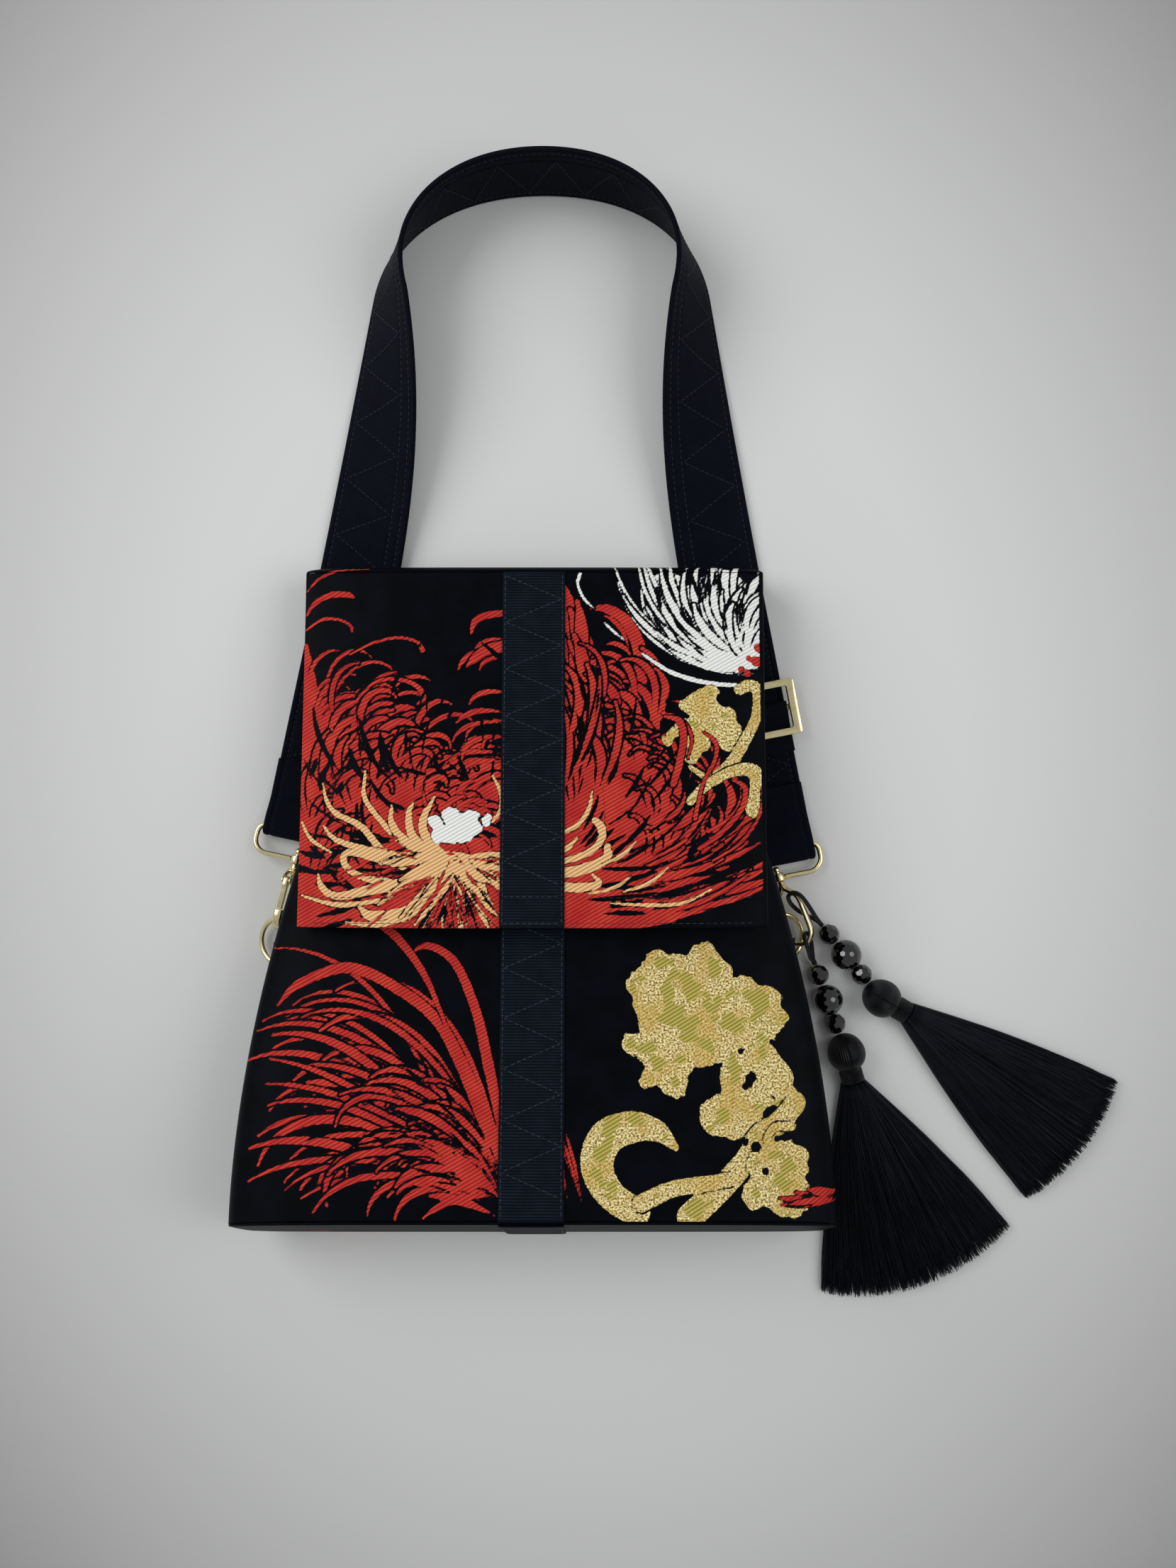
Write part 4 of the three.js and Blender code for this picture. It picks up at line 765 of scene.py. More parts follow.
def weave_leaf(loom):
    """A gold acanthus leaf on its stem, beside the white flower."""
    loom.lobes("gold", [
        (84, 103, 4), (79, 100, 5), (74, 97, 4.4), (83, 95, 6), (90, 92, 5.6), (93, 86, 5.4), (84, 87, 6.5),
        (76, 88, 4.6), (70, 88, 3.4), (78, 80, 5), (92, 80, 4.4), (75, 74, 4), (66, 84, 2.6), (63, 80, 2),
    ])
    loom.sweeps("gold", (
        ([(98, 105), (103, 107), (107, 104), (106, 92), (100, 80), (92, 68), (82, 60), (74, 52)],
         (5, 6, 5.6, 5, 5.4, 6, 5, 4)),
        ([(82, 60), (94, 66), (104, 66), (106, 58), (104, 48)], (5, 5, 7, 7.5, 8)),
        ([(80, 64), (74, 68)], (3, 2)),
    ))
    # petals of the red flower that cross it
    loom.sweeps("red", (
        ([(60, 94), (70, 91), (75, 82), (73, 72)], (1, 1.6, 1.6, 1)),
        ([(62, 92), (69, 90), (71, 82), (69, 70), (66, 60)], (1, 3.2, 3.4, 3.4, 3)),
        ([(80, 85), (86, 80), (86, 72), (80, 60), (76, 44)], (0.8, 2.2, 1.8, 1.6, 2)),
        ([(94, 62), (100, 58), (98, 48), (88, 37), (78, 30)], (1, 2.4, 2.4, 2.2, 2)),
        ([(108, 58), (107, 46), (98, 33), (84, 24)], (0.8, 1.4, 1.4, 1)),
    ))


def weave_flap(points):
    """The flap: a great red and peach chrysanthemum, the edge of a white one, and a gold arabesque leaf."""
    loom = Loom(points, seed=11)
    weave_red_flower(loom)
    weave_peach(loom)
    weave_white(loom)
    weave_leaf(loom)
    loom.keep(loom.x - (flap_half(loom.y) - PLAIN_EDGE))
    return loom


def weave_fan(loom, root, lean=0):
    """A fan of long red petals that rise from its root, bend over to the left and end in points."""
    x, y = root
    for low, high, length, turn, width, count in (
        (100, 140, (112, 150), (60, 110), (2.2, 3.6), 12),
        (112, 160, (84, 124), (60, 120), (2.4, 4.2), 15),
        (136, 172, (80, 118), (20, 80), (2.2, 4.0), 12),
        (96, 168, (50, 88), (60, 130), (2.4, 4.4), 22),
        (92, 174, (28, 56), (40, 110), (2.4, 4.4), 24),
    ):
        heading = (low + lean, high + lean)
        loom.petals("red", count, root, heading, length, turn, width, (10, 8), 2.6, 1.0, (0.1, 0.35))
    heading = (120 + lean, 180 + lean)
    loom.petals("red", 8, (x + 2, y - 6), heading, (20, 44), (-10, 60), (3, 6), (8, 8), 1.5, MERGED)
    heading = (90 + lean, 172 + lean)
    loom.gaps(30, root, heading, (50, 110), (40, 100), (0.7, 2.0), (8, 10), 1.9, (0.15, 0.6), (0.08, 0.24))


def weave_front(points):
    """The front below the flap: red petals that sweep up to the left, and gold arabesques on the right."""
    loom = Loom(points, seed=5)
    weave_fan(loom, (-20, -122))
    loom.sweeps("red", (
        ([(-12, -112), (-22, -92), (-32, -70), (-44, -50), (-62, -36), (-86, -26), (-110, -34), (-120, -44)],
         (6, 7, 6, 5, 5, 5, 4, 1)),
        ([(-14, -96), (-20, -70), (-26, -46), (-36, -24), (-48, -16), (-56, -18)], (4, 5, 4.4, 4, 3.4, 1)),
    ), 0.5, (0, 0.4))
    loom.sweep("red", [(-40, -52), (-50, -30), (-62, -14), (-74, -4)], (1.4, 3, 4, 4), 0.5)
    loom.petals("red", 6, (22, -130), (112, 100), (24, 52), (-6, 10), (1.0, 2.0), (6, 3), 1.4, 0.3)
    # gold leaf: lobes round its middle, with bays left open between them
    loom.lobes("gold", [
        (58, -24, 6), (66, -26, 6), (52, -34, 8), (62, -36, 10), (80, -22, 7), (86, -30, 8), (74, -34, 10),
        (84, -42, 9), (56, -46, 8), (68, -50, 12), (98, -38, 8), (108, -42, 8), (112, -50, 7), (104, -56, 8),
        (94, -50, 9), (46, -60, 4.5), (54, -62, 7), (60, -70, 8), (54, -76, 4), (66, -78, 6), (72, -66, 9),
        (84, -60, 9), (96, -66, 8), (108, -68, 7), (114, -76, 7), (118, -84, 5), (102, -80, 8), (94, -74, 7),
        (106, -90, 7), (92, -84, 7), (86, -92, 9), (94, -96, 7),
    ])
    loom.lobes(None, [(101, -76, 2.4), (99, -79, 2.0), (110, -91, 2.6), (97, -64, 1.2), (78, -77, 6),
                      (84, -80, 3.4)])
    loom.sweeps("gold", (
        ([(122, -88), (114, -96), (104, -102), (98, -112), (86, -124), (72, -136)], (10, 10, 10, 10, 11, 12)),
        ([(66, -106), (58, -99), (46, -97), (34, -102), (30, -114), (36, -126), (48, -134)],
         (3, 9, 14, 16, 15, 13, 12)),
        ([(92, -120), (78, -122), (64, -124), (50, -130)], (6, 7, 7, 8)),
        ([(120, -98), (112, -98), (108, -104), (113, -108), (119, -105)], (4, 3.6, 3.4, 3, 2.4)),
    ))
    loom.lobes("gold", [(104, -114, 6), (112, -110, 7), (120, -114, 8), (110, -122, 8), (102, -127, 6),
                        (118, -128, 10)])
    loom.lobes(None, [(98, -104, 1.6), (103, -106.5, 2.2), (107, -117, 1.5), (113, -103, 1.2)])
    loom.petals("red", 6, (142, -133), (162, 184), (16, 28), (-8, 8), (2.4, 4.4), (3, 3), 1.2)
    return loom


# Materials

RIB_PITCH = 1.6  # between the brocade's slanting ribs
RIB_ANGLE = 30.0
FLOAT_LENGTH = 2.2  # of a weft between two of its bindings
RAGGED = 0.36  # how far a woven shape's edge moves from one float to the next
EDGE_SOFTNESS = 0.1
THREAD_PITCH = 0.55
GROUND_TWILL_PITCH = 0.45
SATIN_TWILL_PITCH = 0.5
GOLD_RIM = 8.0  # the width of the rim round the gold shapes: pale gold thread speckled with painted glints
GROSGRAIN_PITCH = 1.35
WEBBING_PITCH = 0.9
STRAP_BINDING = 18.4  # where the strap's black bound edge starts, from its middle


def linear(text):
    """An sRGB colour such as #C23A32 as linear red, green, blue and alpha."""
    shares = [int(text[k : k + 2], 16) / 255 for k in (1, 3, 5)]
    return (*[s / 12.92 if s <= 0.04045 else ((s + 0.055) / 1.055) ** 2.4 for s in shares], 1.0)


class Finish:
    """A material whose nodes are added one at a time.

    A value is a number, an sRGB colour as text, or another node's output.
    """

    def __init__(self, name, **inputs):
        self.material = bpy.data.materials.new(name)
        self.material.use_nodes = True
        self.nodes = self.material.node_tree.nodes
        self.surface = self.nodes["Principled BSDF"]
        self.join(self.surface, inputs)

    def join(self, node, inputs):
        """Sets or links a node's inputs, by name or number."""
        for key, value in inputs.items():
            socket = node.inputs[key if isinstance(key, int) else key.replace("_", " ")]
            if isinstance(value, bpy.types.NodeSocket):
                self.material.node_tree.links.new(value, socket)
            else:
                socket.default_value = linear(value) if isinstance(value, str) else value

    def add(self, kind, inputs, output=0, **settings):
        """One node with its settings and inputs; returns one of its outputs."""
        node = self.nodes.new("ShaderNode" + kind)
        for key, value in settings.items():
            setattr(node, key, value)
        self.join(node, inputs)
        return node.outputs[output]

    def math(self, operation, *values):
        """A Math node's result."""
        return self.add("Math", dict(enumerate(values)), operation=operation)

    def times(self, *values):
        """The product of two values."""
        return self.math("MULTIPLY", *values)

    def blend(self, share, low, high):
        """The colour low where the share is 0 and high where it is 1."""
        return self.add("Mix", {0: share, 6: low, 7: high}, 2, data_type="RGBA")

    def span(self, value, low, high, to_low=0.0, to_high=1.0):
        """The value's place between low and high, kept between to_low and to_high."""
        return self.add("MapRange", {0: value, 1: low, 2: high, 3: to_low, 4: to_high})

    def noise(self, place, scale, detail=2.0, **inputs):
        """Soft noise round 0.5."""
        return self.add("TexNoise", {"Vector": place, "Scale": scale, "Detail": detail, **inputs}, "Fac")

    def wave(self, value, pitch):
        """A cosine wave from 0 to 1 with the pitch of the value."""
        turn = self.times(value, 2 * math.pi / pitch)
        return self.math("MULTIPLY_ADD", self.math("COSINE", turn), 0.5, 0.5)

    def parts(self, vector):
        """The three parts of a vector."""
        node = self.nodes.new("ShaderNodeSeparateXYZ")
        self.join(node, {0: vector})
        return node.outputs

    def cloth(self):
        """Millimetres across and along the cloth."""
        laid = self.add("Attribute", {}, "Vector", attribute_name="cloth")
        return laid, *self.parts(laid)

    def coat(self, **inputs):
        """Sets the surface's own inputs."""
        self.join(self.surface, inputs)

    def raised(self, height, depth):
        """Bumps of a depth in millimetres."""
        self.coat(Normal=self.add("Bump", {"Height": height, "Distance": depth * MM, "Strength": 1.0}))


def woven_fields(finish):
    """The field of each colour in millimetres, as the lesser of its layers."""
    channels = []
    for name in WOVEN:
        woven = finish.nodes.new("ShaderNodeAttribute")
        woven.attribute_name = name
        fields = finish.nodes.new("ShaderNodeSeparateColor")
        finish.join(fields, {0: woven.outputs["Color"]})
        channels += [*fields.outputs, woven.outputs["Alpha"]]
    inside = {}
    for (name, _), channel in zip(CHANNELS, channels):
        field = finish.math("MULTIPLY_ADD", channel, 2 * FAR, -FAR)
        inside[name] = finish.math("MINIMUM", inside[name], field) if name in inside else field
    return inside


def brocade():
    """Silk brocade: a dark satin ground with coloured wefts laid over it in slanting twill ribs."""
    finish = Finish("silk_brocade")
    laid, across, along, _ = finish.cloth()
    c, s = math.cos(math.radians(RIB_ANGLE)), math.sin(math.radians(RIB_ANGLE))
    rib_place = finish.math("SUBTRACT", finish.times(along, c), finish.times(across, s))
    rib_run = finish.math("ADD", finish.times(along, s), finish.times(across, c))
    rib, thread = finish.wave(rib_place, RIB_PITCH), finish.wave(rib_run, THREAD_PITCH)
    groove = finish.math("MULTIPLY_ADD", thread, 0.25, finish.times(rib, 0.75))
    # shade: painted highlight on the ribs' raised crests and painted shade in their grooves, for every woven
    # colour
    shade = finish.span(groove, 0.1, 0.75)

    # how far each colour covers the ground: its shapes' edges are ragged by whole floats of weft
    number = finish.math("FLOOR", finish.math("DIVIDE", rib_place, RIB_PITCH / 2))
    step = finish.math("FLOOR", finish.math("DIVIDE", rib_run, FLOAT_LENGTH))
    steps = finish.add("CombineXYZ", {0: number, 1: step})
    ragged = finish.add("TexWhiteNoise", {"Vector": steps}, "Value", noise_dimensions="2D")
    ragged = finish.math("MULTIPLY_ADD", ragged, RAGGED, -RAGGED / 2)
    inside = {name: finish.math("ADD", field, ragged) for name, field in woven_fields(finish).items()}
    cover = {name: finish.span(field, EDGE_SOFTNESS, -EDGE_SOFTNESS) for name, field in inside.items()}

    patches, clouds = finish.noise(laid, 0.07), finish.noise(laid, 0.1, 3.0)
    # glint_speckle: painted glints of the metal-wrapped wefts, as bright and dark specks on the gold's rim
    glint_speckle = finish.noise(laid, 1.1, Roughness=0.6)
    colour = finish.blend(finish.span(patches, 0.4, 0.65), "#020306", "#04070F")
    red, dull_red = finish.blend(shade, "#93201B", "#D4463A"), finish.blend(shade, "#8A1A1A", "#BC302E")
    # gold shapes have a rim of pale gold thread with painted glints as bright and dark specks, bronze in
    # places, round an olive middle
    rim = finish.blend(finish.span(glint_speckle, 0.4, 0.6), "#7E5C1C", "#FFF0AE")
    bronze = finish.blend(shade, "#8F6C22", "#D9B24C")
    rim = finish.blend(finish.span(patches, 0.45, 0.62, 0.0, 0.55), rim, bronze)
    depth = finish.math("MULTIPLY_ADD", clouds, 26.0, inside["gold"])
    olive = finish.blend(shade, "#7E7430", "#C2B45C")
    threads = {
        "red": finish.blend(finish.span(patches, 0.35, 0.7), red, dull_red),
        "peach": finish.blend(shade, "#BE8650", "#F2CA93"),
        # the white's dark lines are painted shade in the ribs' grooves
        "white": finish.blend(finish.span(groove, 0.0, 0.3), "#7E8284", "#F0F1EC"),
        "gold": finish.blend(finish.span(depth, GOLD_RIM - 0.4, GOLD_RIM + 0.2), olive, rim),
    }
    for name, thread_colour in threads.items():
        colour = finish.blend(cover[name], colour, thread_colour)
    covered = finish.math("MAXIMUM", finish.math("MAXIMUM", cover["red"], cover["peach"]),
                          finish.math("MAXIMUM", cover["white"], cover["gold"]))
    height = finish.times(covered, finish.math("MULTIPLY_ADD", groove, 0.7, 0.5))
    twill = finish.times(finish.wave(rib_place, GROUND_TWILL_PITCH), 0.06)
    finish.raised(finish.math("ADD", height, twill), 0.22)
    finish.coat(Base_Color=colour, Roughness=finish.span(covered, 0, 1, 0.5, 0.62), Specular_IOR_Level=0.04)
    return finish.material


def ribbed(name, dark, light, pitch, roughness=0.55, edge=None):
    """Ribbed cloth: fine ribs run straight across; edge is where a darker selvedge starts."""
    finish = Finish(name, Roughness=roughness)
    laid, across, along, _ = finish.cloth()
    sway = finish.noise(laid, 0.12, 3.0)
    rib = finish.wave(finish.math("MULTIPLY_ADD", sway, 0.5, along), pitch)
    # the ribs' crests are painted lighter and their grooves darker: painted highlight and painted shade along
    # the ribs
    colour = finish.blend(finish.span(rib, 0.0, 0.8), dark, light)
    colour = finish.blend(finish.span(sway, 0.3, 0.75, 0.0, 0.6), colour, dark)
    if edge:
        at_edge = finish.span(finish.math("ABSOLUTE", across), edge, edge + 0.4)
        colour = finish.blend(at_edge, colour, finish.blend(0.7, light, dark))
    finish.coat(Base_Color=colour, Specular_IOR_Level=0.05)
    finish.raised(rib, 0.2)
    return finish.material


def satin(name, dark, light):
    """Satin: smooth, with a soft shine and faint slanting twill."""
    finish = Finish(name, Roughness=0.42, Specular_IOR_Level=0.35)
    laid, across, along, _ = finish.cloth()
    twill = finish.wave(finish.math("SUBTRACT", along, finish.times(across, 0.6)), SATIN_TWILL_PITCH)
    finish.coat(Base_Color=finish.blend(finish.span(finish.noise(laid, 0.05), 0.35, 0.7), dark, light))
    finish.raised(twill, 0.04)
    return finish.material


def metal(name, colour, dull, roughness):
    """Plated metal with faint handling marks, as a slow change of roughness and colour."""
    finish = Finish(name, Metallic=1.0)
    marks = finish.noise(finish.add("TexCoord", {}, "Object"), 240.0, 4.0)
    finish.coat(Base_Color=finish.blend(finish.span(marks, 0.45, 0.75), colour, dull),
                Roughness=finish.span(marks, 0.3, 0.7, roughness, roughness + 0.12))
    return finish.material


def yarn(name, dark, light, roughness=0.45, pitch=0.0, shine=0.3):
    """Glossy thread; the cloth's across is its turn round the piece, and a pitch gives it fine strands."""
    finish = Finish(name, Roughness=roughness, Specular_IOR_Level=shine, Anisotropic=0.5)
    laid, across, *_ = finish.cloth()
    finish.coat(Base_Color=finish.blend(finish.span(finish.noise(laid, 0.8), 0.35, 0.65), dark, light))
    if pitch:
        finish.raised(finish.wave(across, pitch), 0.25)
    return finish.material


# Silk brocade of the obi kind, with rayon and metal-wrapped wefts
brocade_cloth = brocade()
# Acetate satin lining
lining_cloth = satin("satin_lining", "#070911", "#0D1120")
# Rayon grosgrain ribbon, cross-ribbed
grosgrain = ribbed("rayon_grosgrain", "#05080D", "#16202C", GROSGRAIN_PITCH)
# Polyester grosgrain over a padded strap, with black bound edges
strap_cloth = ribbed("polyester_webbing", "#04060C", "#0C111E", WEBBING_PITCH, 0.6, STRAP_BINDING)
# Twisted polyester sewing thread, drawn thicker than it is so that it shows
stitch_thread = yarn("sewing_thread", "#161E28", "#2C3744", 0.5)
dark_thread = yarn("dark_thread", "#080B12", "#141A26", 0.5)
# Zinc alloy castings and steel wire, plated pale gold
gold_plate = metal("pale_gold_plate", "#EFE2B4", "#D8C48C", 0.16)
# Nickel-plated steel of the magnetic snap
nickel = metal("nickel_steel", "#C8CACC", "#A8AAAC", 0.25)
# Black pressed glass beads
black_glass = Finish("black_glass", Base_Color="#050507", Roughness=0.06, Specular_IOR_Level=0.8,
                     Coat_Weight=0.4, Coat_Roughness=0.03).material
# Rayon floss of the tassels
floss = yarn("rayon_floss", "#010205", "#090E1C", 0.42, shine=0.16)
# The same floss wound tight over the ball heads and necks
wound_floss = yarn("wound_floss", "#010204", "#05070D", 0.34, 1.1, 0.2)
# Black satin cord of the charms' loops
satin_cord = yarn("satin_cord", "#06070A", "#12141B", 0.4, 0.8)


# Cloth of the body


def plain_weave(piece):
    """Bare ground all over: the brocade's colours are far from every corner."""
    write_woven(piece, np.ones((len(WOVEN), len(piece.data.vertices), 4), np.float32))


def soft_waves(x, y, seed, low=45.0, high=130.0):
    """Soft waves of cloth, from -1 to 1: the mean of six sines with headings and lengths drawn at random."""
    draw = np.random.default_rng(seed).uniform
    total = 0
    for _ in range(6):
        heading, length, phase = draw(0, math.pi), draw(low, high), draw(0, 2 * math.pi)
        total = total + np.sin(2 * math.pi * (x * math.cos(heading) + y * math.sin(heading)) / length + phase)
    return total / 6


def laid_out(grid):
    """Millimetres across (the same as x) and along (summed down each column) a grid of cloth."""
    steps = np.linalg.norm(np.diff(grid, axis=0), axis=2)
    along = -np.concatenate([np.zeros((1, grid.shape[1])), np.cumsum(steps, 0)])
    return np.stack([grid[..., 0], along + grid[:1, :, 1]], -1)


def laid_sheet(outer, inner):
    """The places on their cloth of a double sheet's two grids."""
    return np.concatenate([laid_out(grid).reshape(-1, 2) for grid in (outer, inner)])


at_fold = share_at(FLAP_START_Y)
at_base = 1 - 1.2 * CLEARANCE / BODY_LENGTH
lining_end = 1 - 1.2 * (LINING + CLEARANCE) / BODY_LENGTH

FINE_STEP = 0.75  # between the corners of the patterned cloth
HIDDEN_Y = 8.0  # the front wall is covered by the flap above this
WAVE_HEIGHT = 0.5
FRONT_WAVE_LIMIT = 0.2  # so that the front stays under the flap
BACK_WAVE_LIMIT = 0.3


def body_panel(name, front):
    """Half of the body's outer cloth, with soft waves; the front is fine where it is seen, below the flap."""
    hidden = np.linspace(at_fold, share_at(HIDDEN_Y), 40, endpoint=False)
    seen = np.linspace(share_at(HIDDEN_Y), at_base, int((HIDDEN_Y - BASE_FRONT_Y) / FINE_STEP))
    run = np.concatenate([hidden, seen]) if front else np.linspace(at_fold, at_base, 180)
    inner_run = np.linspace(at_fold, at_base, 40)
    angles = even_angles(400 if front else 220, front)
    outer = body_point(angles[None, :], run[:, None], 0)
    inner = body_point(angles[None, :], inner_run[:, None], CLOTH)
    if front:
        outer[..., 2] += CLEARANCE
        inner[..., 2] += CLEARANCE
    cloth = laid_sheet(outer, inner)
    flat = 1 - np.abs(np.cos(angles)) ** 6
    gone_soft = np.sin(math.pi * (run - at_fold) / (at_base - at_fold)) ** 0.5
    wave = soft_waves(outer[..., 0], outer[..., 1], 3 if front else 4)
    lift = WAVE_HEIGHT * wave * flat * gone_soft[:, None]
    if front:
        outer[..., 2] += np.minimum(lift, FRONT_WAVE_LIMIT) * smooth(np.abs(outer[..., 0]), 16, 30)
    else:
        outer[..., 2] -= np.maximum(lift, -BACK_WAVE_LIMIT) * smooth(np.abs(outer[..., 0]), 18, 40)
    sheet = double_sheet(outer, inner, run, inner_run)
    piece = put_piece(name, [sheet], brocade_cloth, "bag_body", cloth=cloth)
    loom = weave_front(outer) if front else weave_back(outer)
    loom.write(piece, outer[..., 0].size)


def weave_back(points):
    """The back, which the photo doesn't show: the same fans of red petals as the front, mirrored."""
    loom = Loom(points * (-1, 1, 1), seed=23)
    weave_fan(loom, (-20, -122))
    weave_fan(loom, (52, 20), -14)
    return loom


body_panel("front_panel", True)
body_panel("back_panel", False)

# Base: the boxed bottom, in the slanting plane of the last section
base_start = section(np.array(1.0))
base_lean = math.atan2(base_start["front_y"] - base_start["back_y"], base_start["front"] - base_start["back"])
base_up = np.array([0, math.sin(base_lean), math.cos(base_lean)])
base_out = np.array([0, -math.cos(base_lean), math.sin(base_lean)])
base_origin = np.array([0, base_start["back_y"], base_start["back"]])
base_height = (base_start["front"] - base_start["back"]) / math.cos(base_lean)
RING_SIDES = 160


def base_rings(end, scales, inset, offset, bulge=0.0):
    """Rings of the last section's outline about its middle, an offset out of its plane, with a soft bulge."""
    angles = ring_angles(RING_SIDES)
    rim = body_point(angles, np.full(RING_SIDES, end), inset)
    s = section(np.array(end))
    middle = np.array([0, (s["back_y"] + s["front_y"]) / 2, (s["back"] + s["front"]) / 2])
    scales = np.asarray(scales)[:, None, None]
    return middle + (rim - middle) * scales + base_out * (offset + bulge * (1 - scales**2))


def base_panel():
    """The bottom's cloth: it is drawn a little over the sack's edge and bulges softly between its seams."""
    scales = [0.05, 0.2, 0.4, 0.6, 0.75, 0.85, 0.92, 0.96, 0.985, 1.0]
    outer = base_rings(1.0, scales, 0, CLOTH * 0.98, 0.6)
    outer[-1] -= base_out * 0.5
    inner = base_rings(1.0, scales[::-1], 0.0, 0.0)
    shell = loft(np.concatenate([outer, inner]))
    cloth = np.stack([shell[0][:, 0], (shell[0] - base_origin) @ base_up - 190], -1)
    piece = put_piece("base_panel", [shell], brocade_cloth, "bag_body", cloth=cloth)
    loom = Loom(cloth, seed=31)
    loom.fans(
        "red",
        (5, (-60, -196), (140, 178), (40, 80), (-10, 20), (3, 5), (20, 4), 1.2),
        (4, (30, -196), (150, 178), (30, 60), (-10, 20), (3, 5), (20, 4), 1.2),
    )
    loom.write(piece, len(cloth))


base_panel()


def body_lining():
    """The inner sack: an outer and an inner skin that meet at the mouth, each closed by a bottom."""
    run = np.linspace(at_fold, lining_end, 40)[:, None]
    depth = CLOTH + CLEARANCE
    skins = []
    for inset, bottom in ((depth, 0.0), (depth + LINING, -LINING)):
        wall = body_point(ring_angles(RING_SIDES), run, inset)
        floor = base_rings(lining_end, [0.1, 0.4, 0.7, 0.9], inset, bottom)
        if inset > depth:
            wall[-1] = base_rings(lining_end, [0.99], inset, bottom)[0]
        skins.append(np.concatenate([floor, wall[::-1]]))
    shell = loft(np.concatenate([skins[0], skins[1][::-1]]))
    put_piece("body_lining", [shell], lining_cloth, "bag_body", cloth=shell[0][:, :2])


body_lining()

RIBBON_COLUMNS = 25


def lay_ribbon(name, body, under, up):
    """A ribbon on a grid of places under it, rows along, with the direction out of the cloth.

    Its two woven edges are thinner than the rest.
    """
    full = 1 - 0.45 * np.abs(np.linspace(-1, 1, RIBBON_COLUMNS)) ** 14
    top = under + np.asarray(up, float) * (RIBBON_THICKNESS * full[None, :, None])
    inner = under[:: max(1, len(under) // 40)]
    if not np.allclose(inner[-1], under[-1]):
        inner = np.concatenate([inner, under[-1:]])
    put_piece(name, [double_sheet(top, inner)], grosgrain, body, cloth=laid_out(top))


def front_height(x, y):
    """The front wall's height over a place, without its waves."""
    t = share_at(y)
    for _ in range(3):
        s = section(t)
        rise = (1 - np.abs(x / s["half"]) ** FRONT_SQUARENESS) ** (1 / FRONT_SQUARENESS)
        z = s["seam"] + (s["front"] - s["seam"]) * rise
        t = t + (mix(s["back_y"], s["front_y"], (z - s["back"]) / (s["front"] - s["back"])) - y) / BODY_LENGTH
    return z


def ribbon_grid(y):
    """Places across a ribbon for each place along it."""
    return np.meshgrid(np.linspace(-1, 1, RIBBON_COLUMNS) * RIBBON_WIDTH / 2, y)


grid_x, grid_y = ribbon_grid(np.linspace(FLAP_START_Y, BASE_FRONT_Y + 0.4, 300))
under = np.stack([grid_x, grid_y, front_height(grid_x, grid_y) + 2 * CLEARANCE], -1)
lay_ribbon("front_ribbon", "bag_body", under, (0, 0, 1))

grid_x, grid_y = ribbon_grid(np.linspace(FLAP_START_Y, BASE_BACK_Y + 0.4, 160))
back_share = (FOLD_Y - grid_y) / (FOLD_Y - BASE_BACK_Y)
under = np.stack([grid_x, grid_y, section(back_share)["back"] - CLEARANCE], -1)
lay_ribbon("back_ribbon", "bag_body", under, (0, 0, -1))

grid_x, grid_v = ribbon_grid(np.linspace(1, 0, 60))
under = base_origin + grid_v[..., None] * base_height * base_up + base_out * (CLOTH + CLEARANCE)
lay_ribbon("base_ribbon", "bag_body", under + grid_x[..., None] * X_AXIS, base_out)


# Flap


def hem_shape(y):
    """The hem's height: a folded double layer up to its crease, with a rounded edge at the mouth."""
    doubled = 0.35 * smooth(-y, -HEM_Y - 0.8, -HEM_Y + 0.8)
    crease = -0.45 * np.exp(-(((y - HEM_Y) / 0.9) ** 2))
    rounded = -0.9 * (1 - np.sqrt(np.clip(1 - (1 - np.clip(y - FLAP_END_Y, 0, 1.4) / 1.4) ** 2, 0, 1)))
    return doubled + crease + rounded


def flap_lift(x, y):
    """How far the flap's cloth stands over its plain surface: soft waves, flat at the ribbon and the fold."""
    waves = 0.55 * soft_waves(x, y, 8, 50, 140) + 0.25 * soft_waves(x, y, 9, 22, 46) * smooth(-y, -60, 0)
    pinned = smooth(np.abs(x), 15, 32) * smooth(-y, -FLAP_START_Y, -FLAP_START_Y + 25)
    return waves * pinned


def flap_outer():
    """The wall that is seen: brocade with its flowers, fine all over, and a hem at the mouth."""
    rows = int((FLAP_START_Y - FLAP_END_Y) / FINE_STEP)
    edge_rows = [FLAP_END_Y + 0.35, FLAP_END_Y + 0.1]  # for the mouth's rounded edge
    y = np.sort(np.concatenate([np.linspace(FLAP_START_Y, FLAP_END_Y, rows), edge_rows]))[::-1, None]
    angles = even_flap_angles(330, True)[None, :]
    outer = flap_point(angles, y, 0)
    inner = flap_point(angles, np.linspace(FLAP_START_Y, FLAP_END_Y, 40)[:, None], CLOTH)
    outer[..., 2] += CLEARANCE
    inner[..., 2] += CLEARANCE
    cloth = laid_sheet(outer, inner)
    loom = weave_flap(outer)
    on_top = np.clip(np.sin(angles), 0, 1) ** 0.5
    outer[..., 2] += (flap_lift(outer[..., 0], outer[..., 1]) + hem_shape(outer[..., 1])) * on_top
    run = (FLAP_START_Y - y[:, 0]) / (FLAP_START_Y - FLAP_END_Y)
    sheet = double_sheet(outer, inner, run, np.linspace(0, 1, 40))
    piece = put_piece("flap_outer", [sheet], brocade_cloth, "flap", cloth=cloth)
    loom.write(piece, outer[..., 0].size)


flap_outer()


def flap_inner():
    """The wall that lies on the body's front: plain ground, of which a narrow edge shows."""
    y = np.linspace(FLAP_START_Y, FLAP_END_Y, 90)[:, None]
    angles = even_flap_angles(120, False)[None, :]
    outer = flap_point(angles, y, 0)
    inner = flap_point(angles, y[::3], CLOTH)
    run = np.linspace(0, 1, len(y))
    sheet = double_sheet(outer, inner, run, run[::3])
    plain_weave(put_piece("flap_inner", [sheet], brocade_cloth, "flap", cloth=laid_sheet(outer, inner)))


flap_inner()


